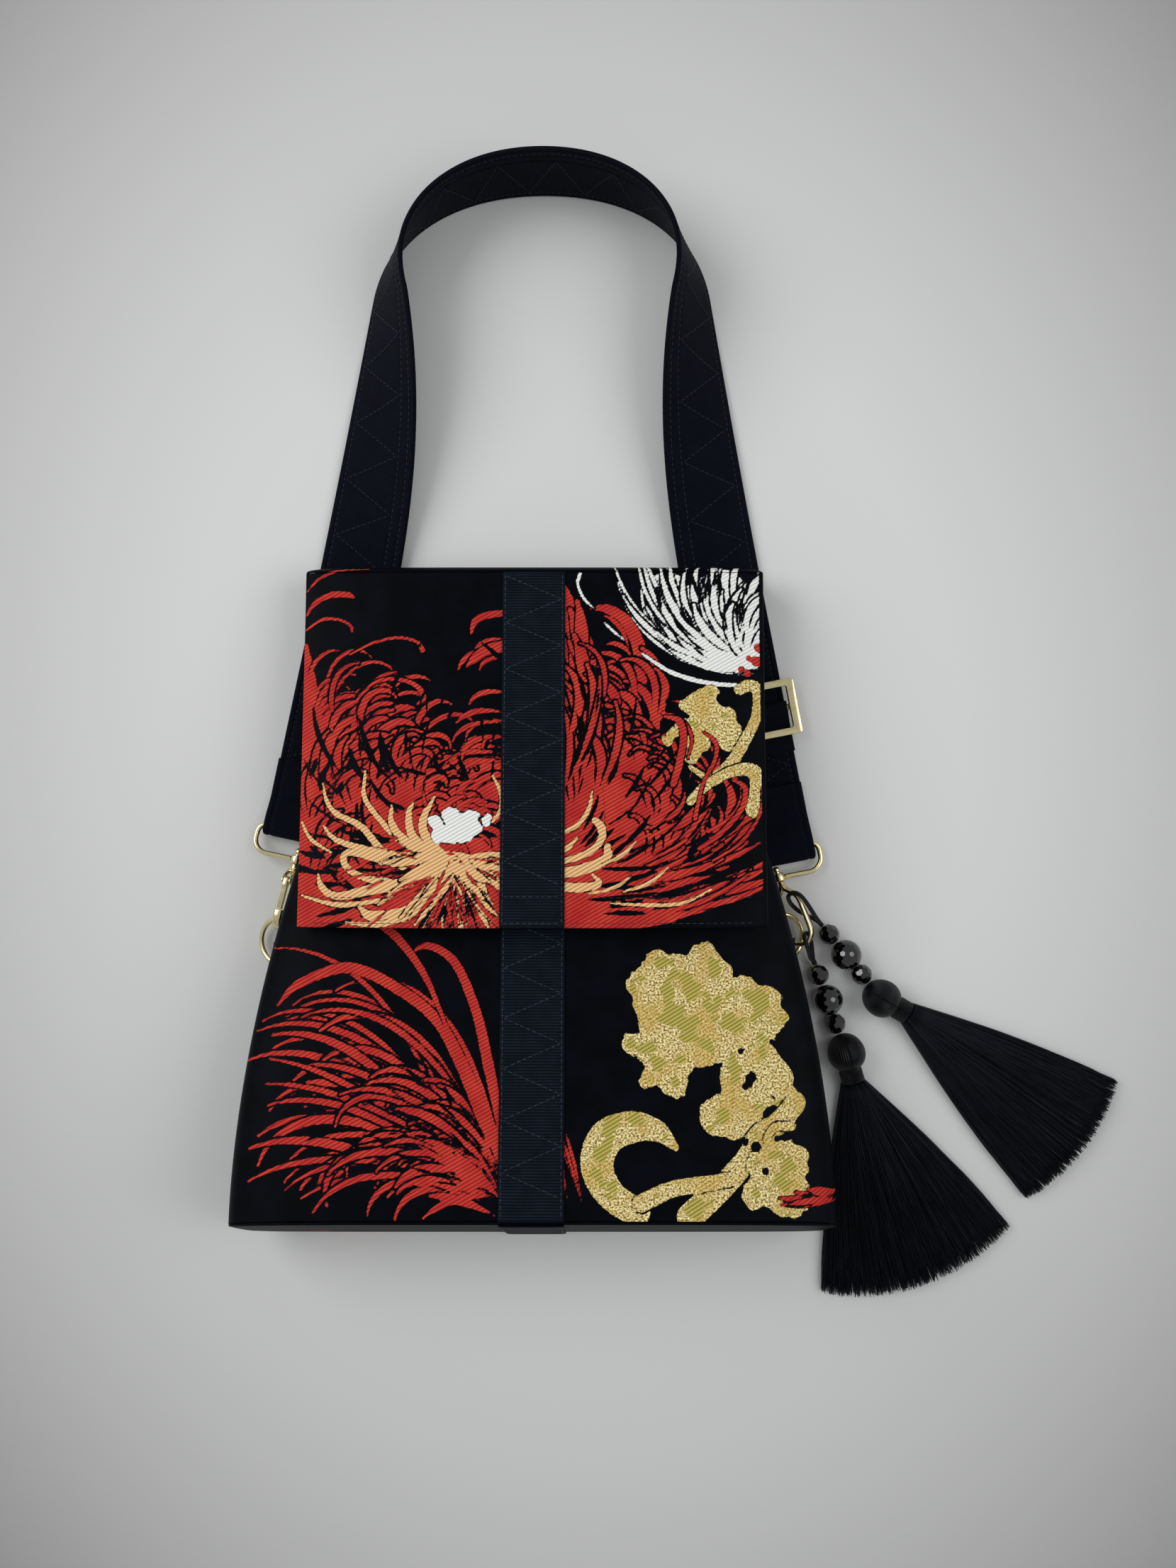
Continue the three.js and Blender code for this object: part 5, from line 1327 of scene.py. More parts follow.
def flap_lining():
    """A tube of satin inside the sleeve."""
    y = np.linspace(FLAP_START_Y, FLAP_END_Y, 40)[:, None]
    depth = CLOTH + CLEARANCE
    outer, inner = (flap_point(ring_angles(RING_SIDES), y, depth + inset) for inset in (0, LINING))
    shell = loft(np.concatenate([outer, inner[::-1]]), closed=True)
    put_piece("flap_lining", [shell], lining_cloth, "flap", cloth=shell[0][:, :2])


flap_lining()

grid_x, grid_y = ribbon_grid(np.linspace(FLAP_START_Y, FLAP_END_Y, 200))
flap_ribbon_z = flap_under(grid_x, grid_y) + FLAP_THICKNESS + 2 * CLEARANCE + hem_shape(grid_y)
lay_ribbon("flap_ribbon", "flap", np.stack([grid_x, grid_y, flap_ribbon_z], -1), (0, 0, 1))


def fold_spine():
    """The roll of cloth at the fold; the flap's pattern runs on over it."""
    low = float(section(at_fold)["back"])
    turn = np.linspace(math.pi / 2, -math.pi / 2, 34)[:, None]
    skins = []
    for depth in (0, CLOTH):
        edge = flap_point(even_flap_angles(300, True), FLAP_START_Y, depth)
        foot = low + depth + FLAP_THICKNESS / 2 * np.abs(edge[:, 0] / SLEEVE_HALF_WIDTH) ** 30
        radius = (edge[:, 2] - foot) / 2
        inward = 1 - ROLL_CORNER / SLEEVE_HALF_WIDTH * (1 - np.abs(np.sin(turn)))
        y = FLAP_START_Y + CLEARANCE + FOLD_FLATNESS * radius * np.cos(turn)
        z = foot + radius * (1 + np.sin(turn))
        skins.append(np.stack(np.broadcast_arrays(edge[:, 0] * inward, y, z), -1))
    middle_column = skins[0][:, skins[0].shape[1] // 2]
    along = FLAP_START_Y + run_along(middle_column)[:, None]
    laid = np.stack(np.broadcast_arrays(skins[0][..., 0], along), -1)
    cloth = np.concatenate([laid.reshape(-1, 2)] * 2)
    piece = put_mesh("fold_spine_shown", [double_sheet(*skins)], brocade_cloth, cloth=cloth)
    weave_flap(laid).write(piece, laid[..., 0].size)
    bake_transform(piece)
    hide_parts("fold_spine")


fold_spine()


# Stitching


def in_each(faces, corners, count):
    """The faces of one thread, repeated for each thread of so many corners."""
    return (faces[None] + corners * np.arange(count)[:, None, None]).reshape(-1, faces.shape[1])


def stitches(surface, line, pitch=2.9, length=2.3, width=0.55, height=0.22):
    """Dashes of thread on a line of places (across, along) over a surface: low ridges with tapered ends."""
    line = np.asarray(line, float)
    run = run_along(line)
    middle = np.arange(pitch / 2, run[-1], pitch)

    def place(distance):
        """The place on the surface at a distance along the line."""
        return surface(np.interp(distance, run, line[:, 0]), np.interp(distance, run, line[:, 1]))

    start, centre, end = (place(middle + shift) for shift in (-length / 2, 0, length / 2))
    a, s = (np.interp(middle, run, line[:, k]) for k in (0, 1))
    step = 0.2
    across = surface(a + step, s) - surface(a - step, s)
    along = surface(a, s + step) - surface(a, s - step)
    normal = unit(np.cross(across, along))
    side = unit(np.cross(normal, end - start))
    corners = []
    for at, share in ((start, 0.35), (centre, 1.0), (end, 0.35)):
        for a_sign, up in ((-1, -0.3), (-0.7, share), (0.7, share), (1, -0.3)):
            corners.append(at + side * a_sign * width / 2 * share**0.5 + normal * up * height)
    corners = np.stack(corners, 1).reshape(-1, 3)
    one = np.concatenate([grid_faces(3, 4, ring_columns=True), [[3, 2, 1, 0], [8, 9, 10, 11]]])
    return turned_out(corners, in_each(one, 12, len(middle)))


def zigzag(low, high, start, end, period):
    """A zigzag between two places across, from one place along to another."""
    along = np.arange(start, end, math.copysign(period / 2, end - start))
    return np.stack([np.where(np.arange(len(along)) % 2 == 0, low, high), along], -1)


def straight(across, start, end):
    """A line along the cloth."""
    return np.array([(across, start), (across, end)])


def sew(name, body, shells, thread=stitch_thread):
    """Thread belongs to no CAD node; it rides on its cloth's body."""
    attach(put_mesh(name, shells, thread, cloth=np.concatenate([shell[0][:, :2] for shell in shells])), body)


def flap_ribbon_top(a, s):
    """The flap's ribbon, a across and s along."""
    z = flap_under(a, s) + FLAP_THICKNESS + 2 * CLEARANCE + hem_shape(s) + RIBBON_THICKNESS
    return np.stack([a, s, z], -1)


def front_ribbon_surface(a, s):
    """The front's ribbon below the flap."""
    return np.stack([a, s, front_height(a, s) + 2 * CLEARANCE + RIBBON_THICKNESS], -1)


def base_ribbon_surface(a, s):
    """Counted from the ground: s is the height along the slanting base."""
    out = CLOTH + CLEARANCE + RIBBON_THICKNESS
    return base_origin + a[:, None] * X_AXIS + s[:, None] * base_up + base_out * out


RIBBON_SEAMS = (-13.7, 13.7)  # rows of edge stitching, from the ribbon's middle
RIBBON_ZIGZAG = 22.6
ZIGZAG_REACH = 13.4
sew("flap_stitching", "flap", [
    *[stitches(flap_ribbon_top, straight(a, FLAP_START_Y - 1, FLAP_END_Y + 1)) for a in RIBBON_SEAMS],
    stitches(flap_ribbon_top,
             zigzag(-ZIGZAG_REACH, ZIGZAG_REACH, FLAP_START_Y - 2, FLAP_END_Y + 14, RIBBON_ZIGZAG)),
    *[stitches(flap_ribbon_top, [(a, y) for a in RIBBON_SEAMS]) for y in (HEM_Y + 0.6, FLAP_END_Y + 2.4)],
])
sew("front_stitching", "bag_body", [
    *[stitches(front_ribbon_surface, straight(a, 12, BASE_FRONT_Y + 1)) for a in RIBBON_SEAMS],
    stitches(front_ribbon_surface, zigzag(ZIGZAG_REACH, -ZIGZAG_REACH, 8, BASE_FRONT_Y + 1, RIBBON_ZIGZAG)),
    *[stitches(base_ribbon_surface, straight(a, base_height - 1, 2)) for a in RIBBON_SEAMS],
])


def flap_cloth_surface(a, s):
    """The flap's own cloth, with its waves and hem."""
    z = flap_under(a, s) + FLAP_THICKNESS + CLEARANCE + flap_lift(a, s) + hem_shape(s)
    return np.stack([a, s, z], -1)


sew("hem_stitching", "flap", [
    stitches(flap_cloth_surface, [(side * 16, y), (side * 104, y)], 3.2, 2.2, 0.35, 0.1)
    for side in (-1, 1)
    for y in (FLAP_END_Y + 2.2, HEM_Y)
])


# Strap


def bezier(a, b, c, d, count):
    """A cubic curve from a to d that leaves towards b and comes in from c."""
    t = np.linspace(0, 1, count)[:, None]
    return (1 - t) ** 3 * a + 3 * (1 - t) ** 2 * t * b + 3 * (1 - t) * t**2 * c + t**3 * d


def flat_point(x, y):
    """A place on the ground."""
    return np.array([x, y, 0.0])


LOOP_INNER = WIRE / 2 + CLEARANCE
LOOP_OUTER = LOOP_INNER + WEBBING
left_end, right_end = flat_point(*LEFT_LEG_END), flat_point(*RIGHT_LEG_END)
left_top, right_top = flat_point(LEFT_LEG_TOP_X, LEG_TOP_Y), flat_point(RIGHT_LEG_TOP_X, LEG_TOP_Y)
arch_top = flat_point(*ARCH_TOP)
leg_up = unit(left_top - left_end)
leg_down = unit(right_end - right_top)


def strap_stations():
    """The strap's middle line with the directions across it and out of its upper face.

    It runs from the left return, round the left ring, up the leg, over the arch and down to the right return.
    """
    arch_left, arch_right = arch_top - ARCH_HANDLE * X_AXIS, arch_top + ARCH_HANDLE * X_AXIS
    edge = np.concatenate([
        [left_end + leg_up * LOOP_OUTER],
        bezier(left_top, left_top + leg_up * LEG_HANDLE, arch_left, arch_top, 60),
        bezier(arch_top, arch_right, right_top - leg_down * LEG_HANDLE, right_top, 60)[1:],
        [right_end - leg_down * LOOP_OUTER],
    ])
    edge = resampled(edge, 330)
    heading = unit(np.gradient(edge, axis=0))
    inward = np.stack([heading[:, 1], -heading[:, 0], heading[:, 2]], -1)
    share = np.clip((edge[:, 1] - TWIST_START_Y) / (ARCH_TOP[1] - TWIST_START_Y), 0, 1)
    turn = (math.radians(TWIST_END_ANGLE) * share**TWIST_POWER)[:, None]
    across = inward * np.cos(turn) + Z_AXIS * np.sin(turn)
    out = np.cross(across, heading)
    rise = np.maximum(0, -out[:, 2:]) * WEBBING * Z_AXIS
    spine = edge + rise + across * STRAP_WIDTH / 2 + out * WEBBING / 2
    left = strap_return(left_end, -leg_up, across[0], LEFT_POCKET)
    right = [part[::-1] for part in strap_return(right_end, leg_down, across[-1], RIGHT_POCKET)]
    return [np.concatenate(parts) for parts in zip(left, (spine, across, out), right)]


def strap_return(corner, toward, across, pocket):
    """The strap's end: it lies on the leg, climbs over the ring's bar and turns round it."""
    ramp = -pocket - LOOP_INNER
    top_x = np.linspace(-RETURN_LENGTH, -LOOP_OUTER, 36)[:-1]
    lying, over = WEBBING * 1.5 + CLEARANCE, 2 * LOOP_OUTER - WEBBING / 2
    top = np.stack([top_x, mix(lying, over, smooth(top_x, ramp - RETURN_RAMP, ramp))], -1)
    bend = np.linspace(math.pi / 2, -math.pi / 2, 22)[:-1]
    radius = (LOOP_INNER + LOOP_OUTER) / 2
    loop = np.stack([radius * np.cos(bend) - LOOP_OUTER, radius * np.sin(bend) + LOOP_OUTER], -1)
    path = np.concatenate([top, loop])
    run = unit(np.gradient(path, axis=0))
    middle = corner + across * STRAP_WIDTH / 2
    spine = middle + path[:, :1] * toward + path[:, 1:] * Z_AXIS
    up = run[:, 1:] * toward - run[:, :1] * Z_AXIS
    return spine, np.broadcast_to(across, spine.shape), up


strap_spine, strap_across, strap_up = strap_stations()
strap_run = run_along(strap_spine)
STRAP_SEAMS = (-16.4, 11.6, 16.4)  # rows of edge stitching, from the strap's middle


def strap_face(a, face=1):
    """The strap's half thickness at a place across it: it dips at each row of stitches."""
    dips = sum(np.exp(-(((a - seam) / 0.8) ** 2)) for seam in STRAP_SEAMS)
    return face * (WEBBING / 2 - 0.3 * dips)


def strap_outline():
    """Two faces with dips at the seams, and round bound edges."""
    flat = STRAP_WIDTH / 2 - WEBBING / 2
    places = np.linspace(-flat, flat, 75)
    bend = np.linspace(-math.pi / 2, math.pi / 2, 9)[1:-1]
    half = WEBBING / 2
    right = np.stack([flat + half * np.cos(bend), half * np.sin(bend)], -1)
    lower = np.stack([places, strap_face(places, -1)], -1)
    upper = np.stack([places[::-1], strap_face(places[::-1])], -1)
    return np.concatenate([lower, right, upper, -right])


def strap():
    """The webbing; its cloth's third place says which face is up."""
    outline = strap_outline()
    shell = tube(strap_spine, strap_across, strap_up, outline)
    across, face = outline[None, :, 0], np.sign(outline[None, :, 1])
    laid = np.stack(np.broadcast_arrays(across, strap_run[:, None], face), -1)
    put_piece("strap_webbing", [shell], strap_cloth, "strap", cloth=laid)


strap()


def along_strap(a, s, height):
    """A place on the strap: a across, s along, a height out of its middle."""
    parts = [np.stack([np.interp(s, strap_run, part[:, k]) for k in range(3)], -1)
             for part in (strap_spine, strap_across, strap_up)]
    return parts[0] + parts[1] * a[:, None] + parts[2] * np.broadcast_to(height, a.shape)[:, None]


def strap_upper(a, s):
    """The strap's upper face."""
    return along_strap(a, s, strap_face(a))


def strap_lower(a, s):
    """The strap's lower face, with a counted from its other edge."""
    return along_strap(-a, s, strap_face(-a, -1))


STRAP_ZIGZAG = 28.5
ZIGZAG_SIDES = (-15.4, 10.6)
SEW_START = 50  # past the return and its ring
TURNED_START = 300  # where the lower face begins to show at the arch
strap_length = float(strap_run[-1])
turned_end = strap_length - TURNED_START
sew("strap_stitching", "strap", [
    *[stitches(strap_upper, straight(a, SEW_START, strap_length - SEW_START)) for a in STRAP_SEAMS],
    stitches(strap_upper, zigzag(*ZIGZAG_SIDES, SEW_START + 2, strap_length - SEW_START - 2, STRAP_ZIGZAG)),
    *[stitches(strap_lower, straight(a, TURNED_START, turned_end)) for a in STRAP_SEAMS[::2]],
    stitches(strap_lower, zigzag(*[-a for a in ZIGZAG_SIDES], TURNED_START, turned_end, STRAP_ZIGZAG)),
], dark_thread)


# Hardware


def frame_at(origin, along, across):
    """A frame's origin and its three axes as rows."""
    along = unit(along)
    across = unit(np.asarray(across, float) - along * np.dot(along, across))
    return np.asarray(origin, float), np.stack([along, across, np.cross(along, across)])


def placed(shell, place):
    """A shell moved from its own frame to the bag's."""
    points, *faces = shell
    return turned_out(place[0] + points @ place[1], *faces)


def plate(outline, thickness, bevel=0.0, holes=(), middle=0.0):
    """A plate in its own X and Y with rounded rims: every loop is drawn in by the bevel at both faces."""
    loops = [np.asarray(loop, float) for loop in (outline, *holes)]
    steps = [(0.0, 1.0), (0.3, 0.3), (1.0, 0.0)] if bevel else [(0.0, 0.0)]
    levels = [(-thickness / 2 + bevel * up, inset) for up, inset in steps]
    levels += [(-z, inset) for z, inset in levels[::-1]]
    points, quads, starts = [], [], []
    base = 0
    for number, loop in enumerate(loops):
        area = np.sum(loop[:, 0] * np.roll(loop[:, 1], -1) - loop[:, 1] * np.roll(loop[:, 0], -1))
        if (area < 0) == (number == 0):
            loop = loop[::-1]
        side = unit(np.roll(loop, -1, 0) - np.roll(loop, 1, 0))
        inward = np.stack([-side[:, 1], side[:, 0]], -1)
        rings = [np.column_stack([loop + inward * inset * bevel, np.full(len(loop), z + middle)])
                 for z, inset in levels]
        points.append(np.concatenate(rings))
        quads.append(grid_faces(len(levels), len(loop), ring_columns=True) + base)
        starts.append(base)
        base += len(loop) * len(levels)
        loops[number] = rings[0]
    filled = np.array(tessellate_polygon([[Vector(p) for p in ring] for ring in loops]))
    sizes = [len(ring) for ring in loops]
    flat = np.concatenate([start + np.arange(size) for start, size in zip(starts, sizes)])
    shift = np.concatenate([np.full(size, size * (len(levels) - 1)) for size in sizes])
    points = np.concatenate(points)
    low, high = consistent(points, flat[filled], -1), consistent(points, (flat + shift)[filled], 1)
    return turned_out(points, np.concatenate(quads), low, high)


def consistent(points, triangles, up):
    """The triangles of a flat face, all turned to look up or down."""
    a, b, c = (points[triangles[:, k]] for k in range(3))
    wrong = np.cross(b - a, c - a)[:, 2] * up < 0
    triangles = triangles.copy()
    triangles[wrong] = triangles[wrong, ::-1]
    return triangles


def turned(profile, sides=32, closed=False):
    """A profile of (place on X, radius) turned round the X axis."""
    profile = np.asarray(profile, float)
    place, radius, angle = profile[:, :1], profile[:, 1:], ring_angles(sides)
    rings = np.broadcast_arrays(place, radius * np.cos(angle), radius * np.sin(angle))
    return loft(np.stack(rings, -1), closed)


def arc(centre, radius, start, end, count=10):
    """Points on an arc, or on an ellipse for a pair of radii, between two angles in degrees."""
    angle = np.radians(np.linspace(start, end, count))
    return np.stack([np.cos(angle), np.sin(angle)], -1) * radius + centre


def flat_wire(line, radius, closed=True, sides=16, height=None):
    """A wire bent in its own X and Y; height makes its section an oval."""
    line = np.asarray(line, float)
    run = unit(np.roll(line, -1, 0) - np.roll(line, 1, 0) if closed else np.gradient(line, axis=0))
    spine = np.column_stack([line, np.zeros(len(line))])
    across = np.column_stack([-run[:, 1], run[:, 0], np.zeros(len(line))])
    up = np.broadcast_to(Z_AXIS, spine.shape)
    section_line = oval(radius, height or radius, sides, 2.0 if height is None else 2.8)
    return tube(spine, across, up, section_line, closed)


def rounded_box(size, middle, radius=0.5):
    """A box with rounded edges along its length: an outline across X and Z carried along Y."""
    half = np.array(size) / 2
    steps = np.array([0, 0.3, 1]) * radius
    y = np.concatenate([steps - half[1], (half[1] - steps)[::-1]])
    shrink = np.concatenate([steps[::-1], steps])
    spine = np.column_stack([np.full(6, middle[0]), y + middle[1], np.full(6, middle[2])])
    outline = oval(1, 1, 24, 6.0)
    outlines = np.stack([outline * (half[[0, 2]] - cut) for cut in shrink])
    return tube(spine, np.broadcast_to(X_AXIS, (6, 3)), np.broadcast_to(Z_AXIS, (6, 3)), outlines)


def end_frame(corner, toward, side):
    """The frame of a strap's end: X along the leg towards the end, Y across it, the origin on the ground."""
    across = np.array([-toward[1], toward[0], 0])
    return frame_at(corner + side * across * STRAP_WIDTH / 2, toward, across)


def inside(place, origin, tilt=0.0):
    """A frame within another: moved, then tilted up about its Y."""
    turn = math.radians(tilt)
    x, y, z = place[1]
    c, s = math.cos(turn), math.sin(turn)
    return place[0] + np.array(origin, float) @ place[1], np.stack([x * c + z * s, y, z * c - x * s])


def hook_frame(origin, heading, rise, roll):
    """X towards the hook's tip, Y across its claw; the heading is clockwise from +Y, the roll about X."""
    flat, tilt, turn = (math.radians(angle) for angle in (heading, rise, roll))
    along = np.array([math.sin(flat) * math.cos(tilt), math.cos(flat) * math.cos(tilt), math.sin(tilt)])
    level = np.array([-math.cos(flat), math.sin(flat), 0])
    across = level * math.cos(turn) + np.cross(along, level) * math.sin(turn)
    return frame_at(origin, along, across)


RING_TILT = {"left": 10.2, "right": 2.0}
RING_SHIFT = {"left": -0.2, "right": 0.0}
HOOKS = {"left": (194, 4, -82), "right": (160, 8, 27)}
DRINGS = {"left": (-123.0, -18.1, -1), "right": (118.6, -16.0, 1)}
left_end_frame = end_frame(left_end, -leg_up, 1)
right_end_frame = end_frame(right_end, leg_down, -1)


def ring_line():
    """The oblong ring's centre line, left open where the swivel barrel stands on it."""
    half, inner, outer = RING_LENGTH / 2, RING_STRAP_CORNER, RING_CORNER
    at_barrel = 2.3
    return np.concatenate([
        np.column_stack([np.full(12, RING_DEPTH), np.linspace(at_barrel, half - outer, 13)[:-1]]),
        arc((RING_DEPTH - outer, half - outer), outer, 0, 90, 12),
        arc((inner, half - inner), inner, 90, 180, 12),
        arc((inner, inner - half), inner, 180, 270, 12),
        arc((RING_DEPTH - outer, outer - half), outer, -90, 0, 12),
        np.column_stack([np.full(12, RING_DEPTH), np.linspace(outer - half, -at_barrel, 13)[1:]]),
    ])


def mirrored(profile):
    """A whole profile from its half, which starts at the far end."""
    return [*[(-x, radius) for x, radius in profile], *profile[::-1]]


def barrel():
    """The swivel's barrel with rounded rims and a bore."""
    bore, half = STEM_RADIUS + CLEARANCE, BARREL_LENGTH / 2
    rim = [(half, bore), (half, BARREL_RADIUS - 0.5), (half - 0.15, BARREL_RADIUS - 0.15),
           (half - 0.5, BARREL_RADIUS)]
    return turned(mirrored(rim), closed=True)


# Places in the hook's own frame: the gate's pin along and across it
GATE_Q = -(HOOK_HALF_WIDTH - HOOK_ARM / 2)
PIN_P = GATE_START - 2


def hook_shells():
    """The hook in its own frame: a ball-headed stem, a neck, a claw of one bent arm, a fork for the gate."""
    ball = arc((-BARREL_LENGTH / 2 - CLEARANCE - STEM_HEAD_RADIUS, 0), STEM_HEAD_RADIUS, 179, 42, 12)
    collar = BARREL_LENGTH / 2 + CLEARANCE
    neck_radius = HOOK_NECK / 2
    stem = turned([
        *ball, (-2, STEM_RADIUS), (collar, STEM_RADIUS), (collar + 0.01, neck_radius - 0.2),
        (collar + 0.2, neck_radius), (6.0, neck_radius + 0.1), (7.2, 1.2),
    ])
    side = -GATE_Q
    tip = HOOK_LENGTH - HOOK_HALF_WIDTH * 1.15
    reach = HOOK_LENGTH - tip - HOOK_ARM / 2
    neck = curve_through([(4.4, 0.2), (6.6, 1.2), (9.2, 3.9), (12.0, 5.7), (15.0, side)], 8)
    line = np.concatenate([neck, [(21, side), (tip, side)], arc((tip, 0), (reach, side), 84, -90, 28),
                           [(GATE_END + CLEARANCE + 0.1, -side)]])
    arm = flat_wire(resampled(line, 70), HOOK_ARM / 2, closed=False, height=HOOK_THICKNESS / 2)
    root = flat_wire(curve_through([(4.2, -0.2), (5.4, -0.9), (6.6, -2.1)], 8), HOOK_ARM / 2, closed=False,
                     height=HOOK_THICKNESS / 2)
    cheek = curve_through([
        (5.2, 0.4), (7.6, -1.3), (9.6, -3.6), (12.1, -4.6), (12.5, -6.3), (11.9, -7.7), (10.2, -8.0),
        (8.3, -6.6), (6.2, -3.4), (5.0, -1.4),
    ], 6, closed=True)
    thick = (HOOK_THICKNESS - GATE_THICKNESS - 2 * CLEARANCE) / 2
    hole = arc((PIN_P, GATE_Q), GATE_PIN_RADIUS + 0.05, 0, 345, 24)
    cheeks = [plate(cheek, thick, 0.12, [hole], sign * (HOOK_THICKNESS - thick) / 2) for sign in (-1, 1)]
    return [stem, arm, root, *cheeks]


def gate_shell():
    """The gate: a flat finger round the pin with a thumb nib."""
    half = 1.1
    outline = np.concatenate([
        arc((PIN_P, GATE_Q), 1.9, 90, 270, 20), arc((PIN_P + 2.5, GATE_Q - 1.5), 0.4, -90, -40, 3),
        [(PIN_P + 5, GATE_Q - half), (GATE_END - 0.3, GATE_Q - half), (GATE_END, GATE_Q - half + 0.3),
         (GATE_END, GATE_Q + half - 0.3), (GATE_END - 0.3, GATE_Q + half), (PIN_P + 4, GATE_Q + half)],
    ])
    hole = arc((PIN_P, GATE_Q), GATE_PIN_RADIUS + CLEARANCE, 0, 345, 24)
    return plate(outline, GATE_THICKNESS, 0.3, [hole])


def pin_shell():
    """The rivet of the gate, with low domed heads."""
    half = HOOK_THICKNESS / 2
    head = [(half + 0.35, 0.01), (half + 0.3, 0.6), (half, 1.15), (half - 0.05, GATE_PIN_RADIUS)]
    points, *faces = turned(mirrored(head), 24)
    points = np.stack([points[:, 1] + PIN_P, points[:, 2] + GATE_Q, points[:, 0]], -1)
    return turned_out(points, *faces)


for side, ends, pocket in (("left", left_end_frame, LEFT_POCKET), ("right", right_end_frame, RIGHT_POCKET)):
    bar = inside(ends, (-pocket, RING_SHIFT[side], LOOP_OUTER), RING_TILT[side])
    hook = hook_frame(bar[0] + RING_DEPTH * bar[1][0], *HOOKS[side])
    ring = [placed(flat_wire(ring_line(), WIRE / 2, closed=False), bar), placed(barrel(), hook)]
    put_piece(f"ring_{side}", ring, gold_plate, f"ring_{side}")
    put_piece(f"hook_{side}", [placed(shell, hook) for shell in hook_shells()], gold_plate, f"hook_{side}")
    put_piece(f"gate_{side}", [placed(gate_shell(), hook)], gold_plate, f"gate_{side}")
    put_piece(f"gate_pin_{side}", [placed(pin_shell(), hook)], gold_plate, f"hook_{side}")


def dring_line():
    """The D-ring's centre line: a straight bar on X = 0, two legs and a half circle."""
    radius, corner = (DRING_INNER + DRING_WIRE) / 2, DRING_WIRE
    return np.concatenate([
        arc((DRING_LEG, 0), radius, -90, 90, 40),
        arc((corner, radius - corner), corner, 90, 180, 8),
        arc((corner, corner - radius), corner, 180, 270, 8),
    ])


def tab_shell(x, y, sign):
    """The tab: a short tape turned round the D-ring's bar and sewn into the side seam."""
    s = section(np.array((FOLD_Y - y - TAB_OFFSET) / SIDE_LENGTH))
    share = TAB_BELOW_SEAM / (s["seam"] - s["back"])
    power = s["squareness"]
    top = np.array([s["half"] * (1 - share**power) ** (1 / power) + TAB_STAND_OFF + TAB_THICKNESS,
                    s["seam"] - TAB_BELOW_SEAM])
    reach = top - (abs(x), DRING_BAR_Z)
    length = np.hypot(*reach)
    bore = DRING_WIRE / 2 + CLEARANCE
    spread = math.degrees(math.asin(TAB_THICKNESS / (bore + TAB_THICKNESS)))
    outline = np.concatenate([arc((0, 0), bore + TAB_THICKNESS, spread, 360 - spread, 30),
                              [(length, -TAB_THICKNESS), (length, TAB_THICKNESS)]])
    tab = plate(outline, 2 * TAB_HALF_LENGTH, 0.25, [arc((0, 0), bore, 0, 345, 24)])
    lean = unit(reach)
    axes = np.array([[sign * lean[0], 0, lean[1]], [-sign * lean[1], 0, lean[0]], [0, 1, 0]])
    return placed(tab, (np.array([x, y + TAB_OFFSET, DRING_BAR_Z]), axes))


sag = math.radians(DRING_SAG_ANGLE)
for side, (x, y, sign) in DRINGS.items():
    place = frame_at((x, y, DRING_BAR_Z), np.array([sign * math.cos(sag), 0, -math.sin(sag)]), (0, sign, 0))
    dring = placed(flat_wire(dring_line(), DRING_WIRE / 2), place)
    put_piece(f"dring_{side}", [dring], gold_plate, f"dring_{side}")
    tab = tab_shell(x, y, sign)
    cloth = np.stack([tab[0][:, 1], tab[0][:, 0] + tab[0][:, 2]], -1)
    put_piece(f"tab_{side}", [tab], grosgrain, "bag_body", cloth=cloth)

# Slider
wrap_low = WEBBING + CLEARANCE
middle_bar_low = wrap_low + WRAP_WEBBING + CLEARANCE
wrap_flat = wrap_low + 2 * WRAP_WEBBING + CLEARANCE
wrap_over_bar = middle_bar_low + MIDDLE_BAR_THICKNESS + CLEARANCE + WRAP_WEBBING
slider_low = wrap_flat + CLEARANCE
slider_frame = inside(right_end_frame, (-SLIDER_FROM_END, 0, 0))


def rounded_rectangle(length, width, corner, count=6):
    """An outline about its middle, with corners of a radius."""
    x, y = length / 2 - corner, width / 2 - corner
    return np.concatenate([arc((cx, cy), corner, start, start + 90, count) for cx, cy, start in
                           ((x, y, 0), (-x, y, 90), (-x, -y, 180), (x, -y, 270))])


def slider_shells():
    """The slider buckle: a flat frame and a lower middle bar on two posts."""
    hole = rounded_rectangle(SLIDER_LENGTH - 2 * SLIDER_END_BAR, SLIDER_WIDTH - 2 * SLIDER_RAIL, 0.8)
    body = plate(rounded_rectangle(SLIDER_LENGTH, SLIDER_WIDTH, 1.6), SLIDER_THICKNESS, 0.55, [hole],
                 slider_low + SLIDER_THICKNESS / 2)
    bar = rounded_box((MIDDLE_BAR, SLIDER_WIDTH - SLIDER_RAIL, MIDDLE_BAR_THICKNESS),
                      (0, 0, middle_bar_low + MIDDLE_BAR_THICKNESS / 2), 0.4)
    height = slider_low + SLIDER_THICKNESS / 2 - middle_bar_low
    posts = [rounded_box((MIDDLE_BAR, SLIDER_RAIL - 1, height),
                         (0, side * (SLIDER_WIDTH - SLIDER_RAIL) / 2, middle_bar_low + height / 2), 0.4)
             for side in (-1, 1)]
    return [body, bar, *posts]


put_piece("slider", [placed(shell, slider_frame) for shell in slider_shells()], gold_plate, "slider")


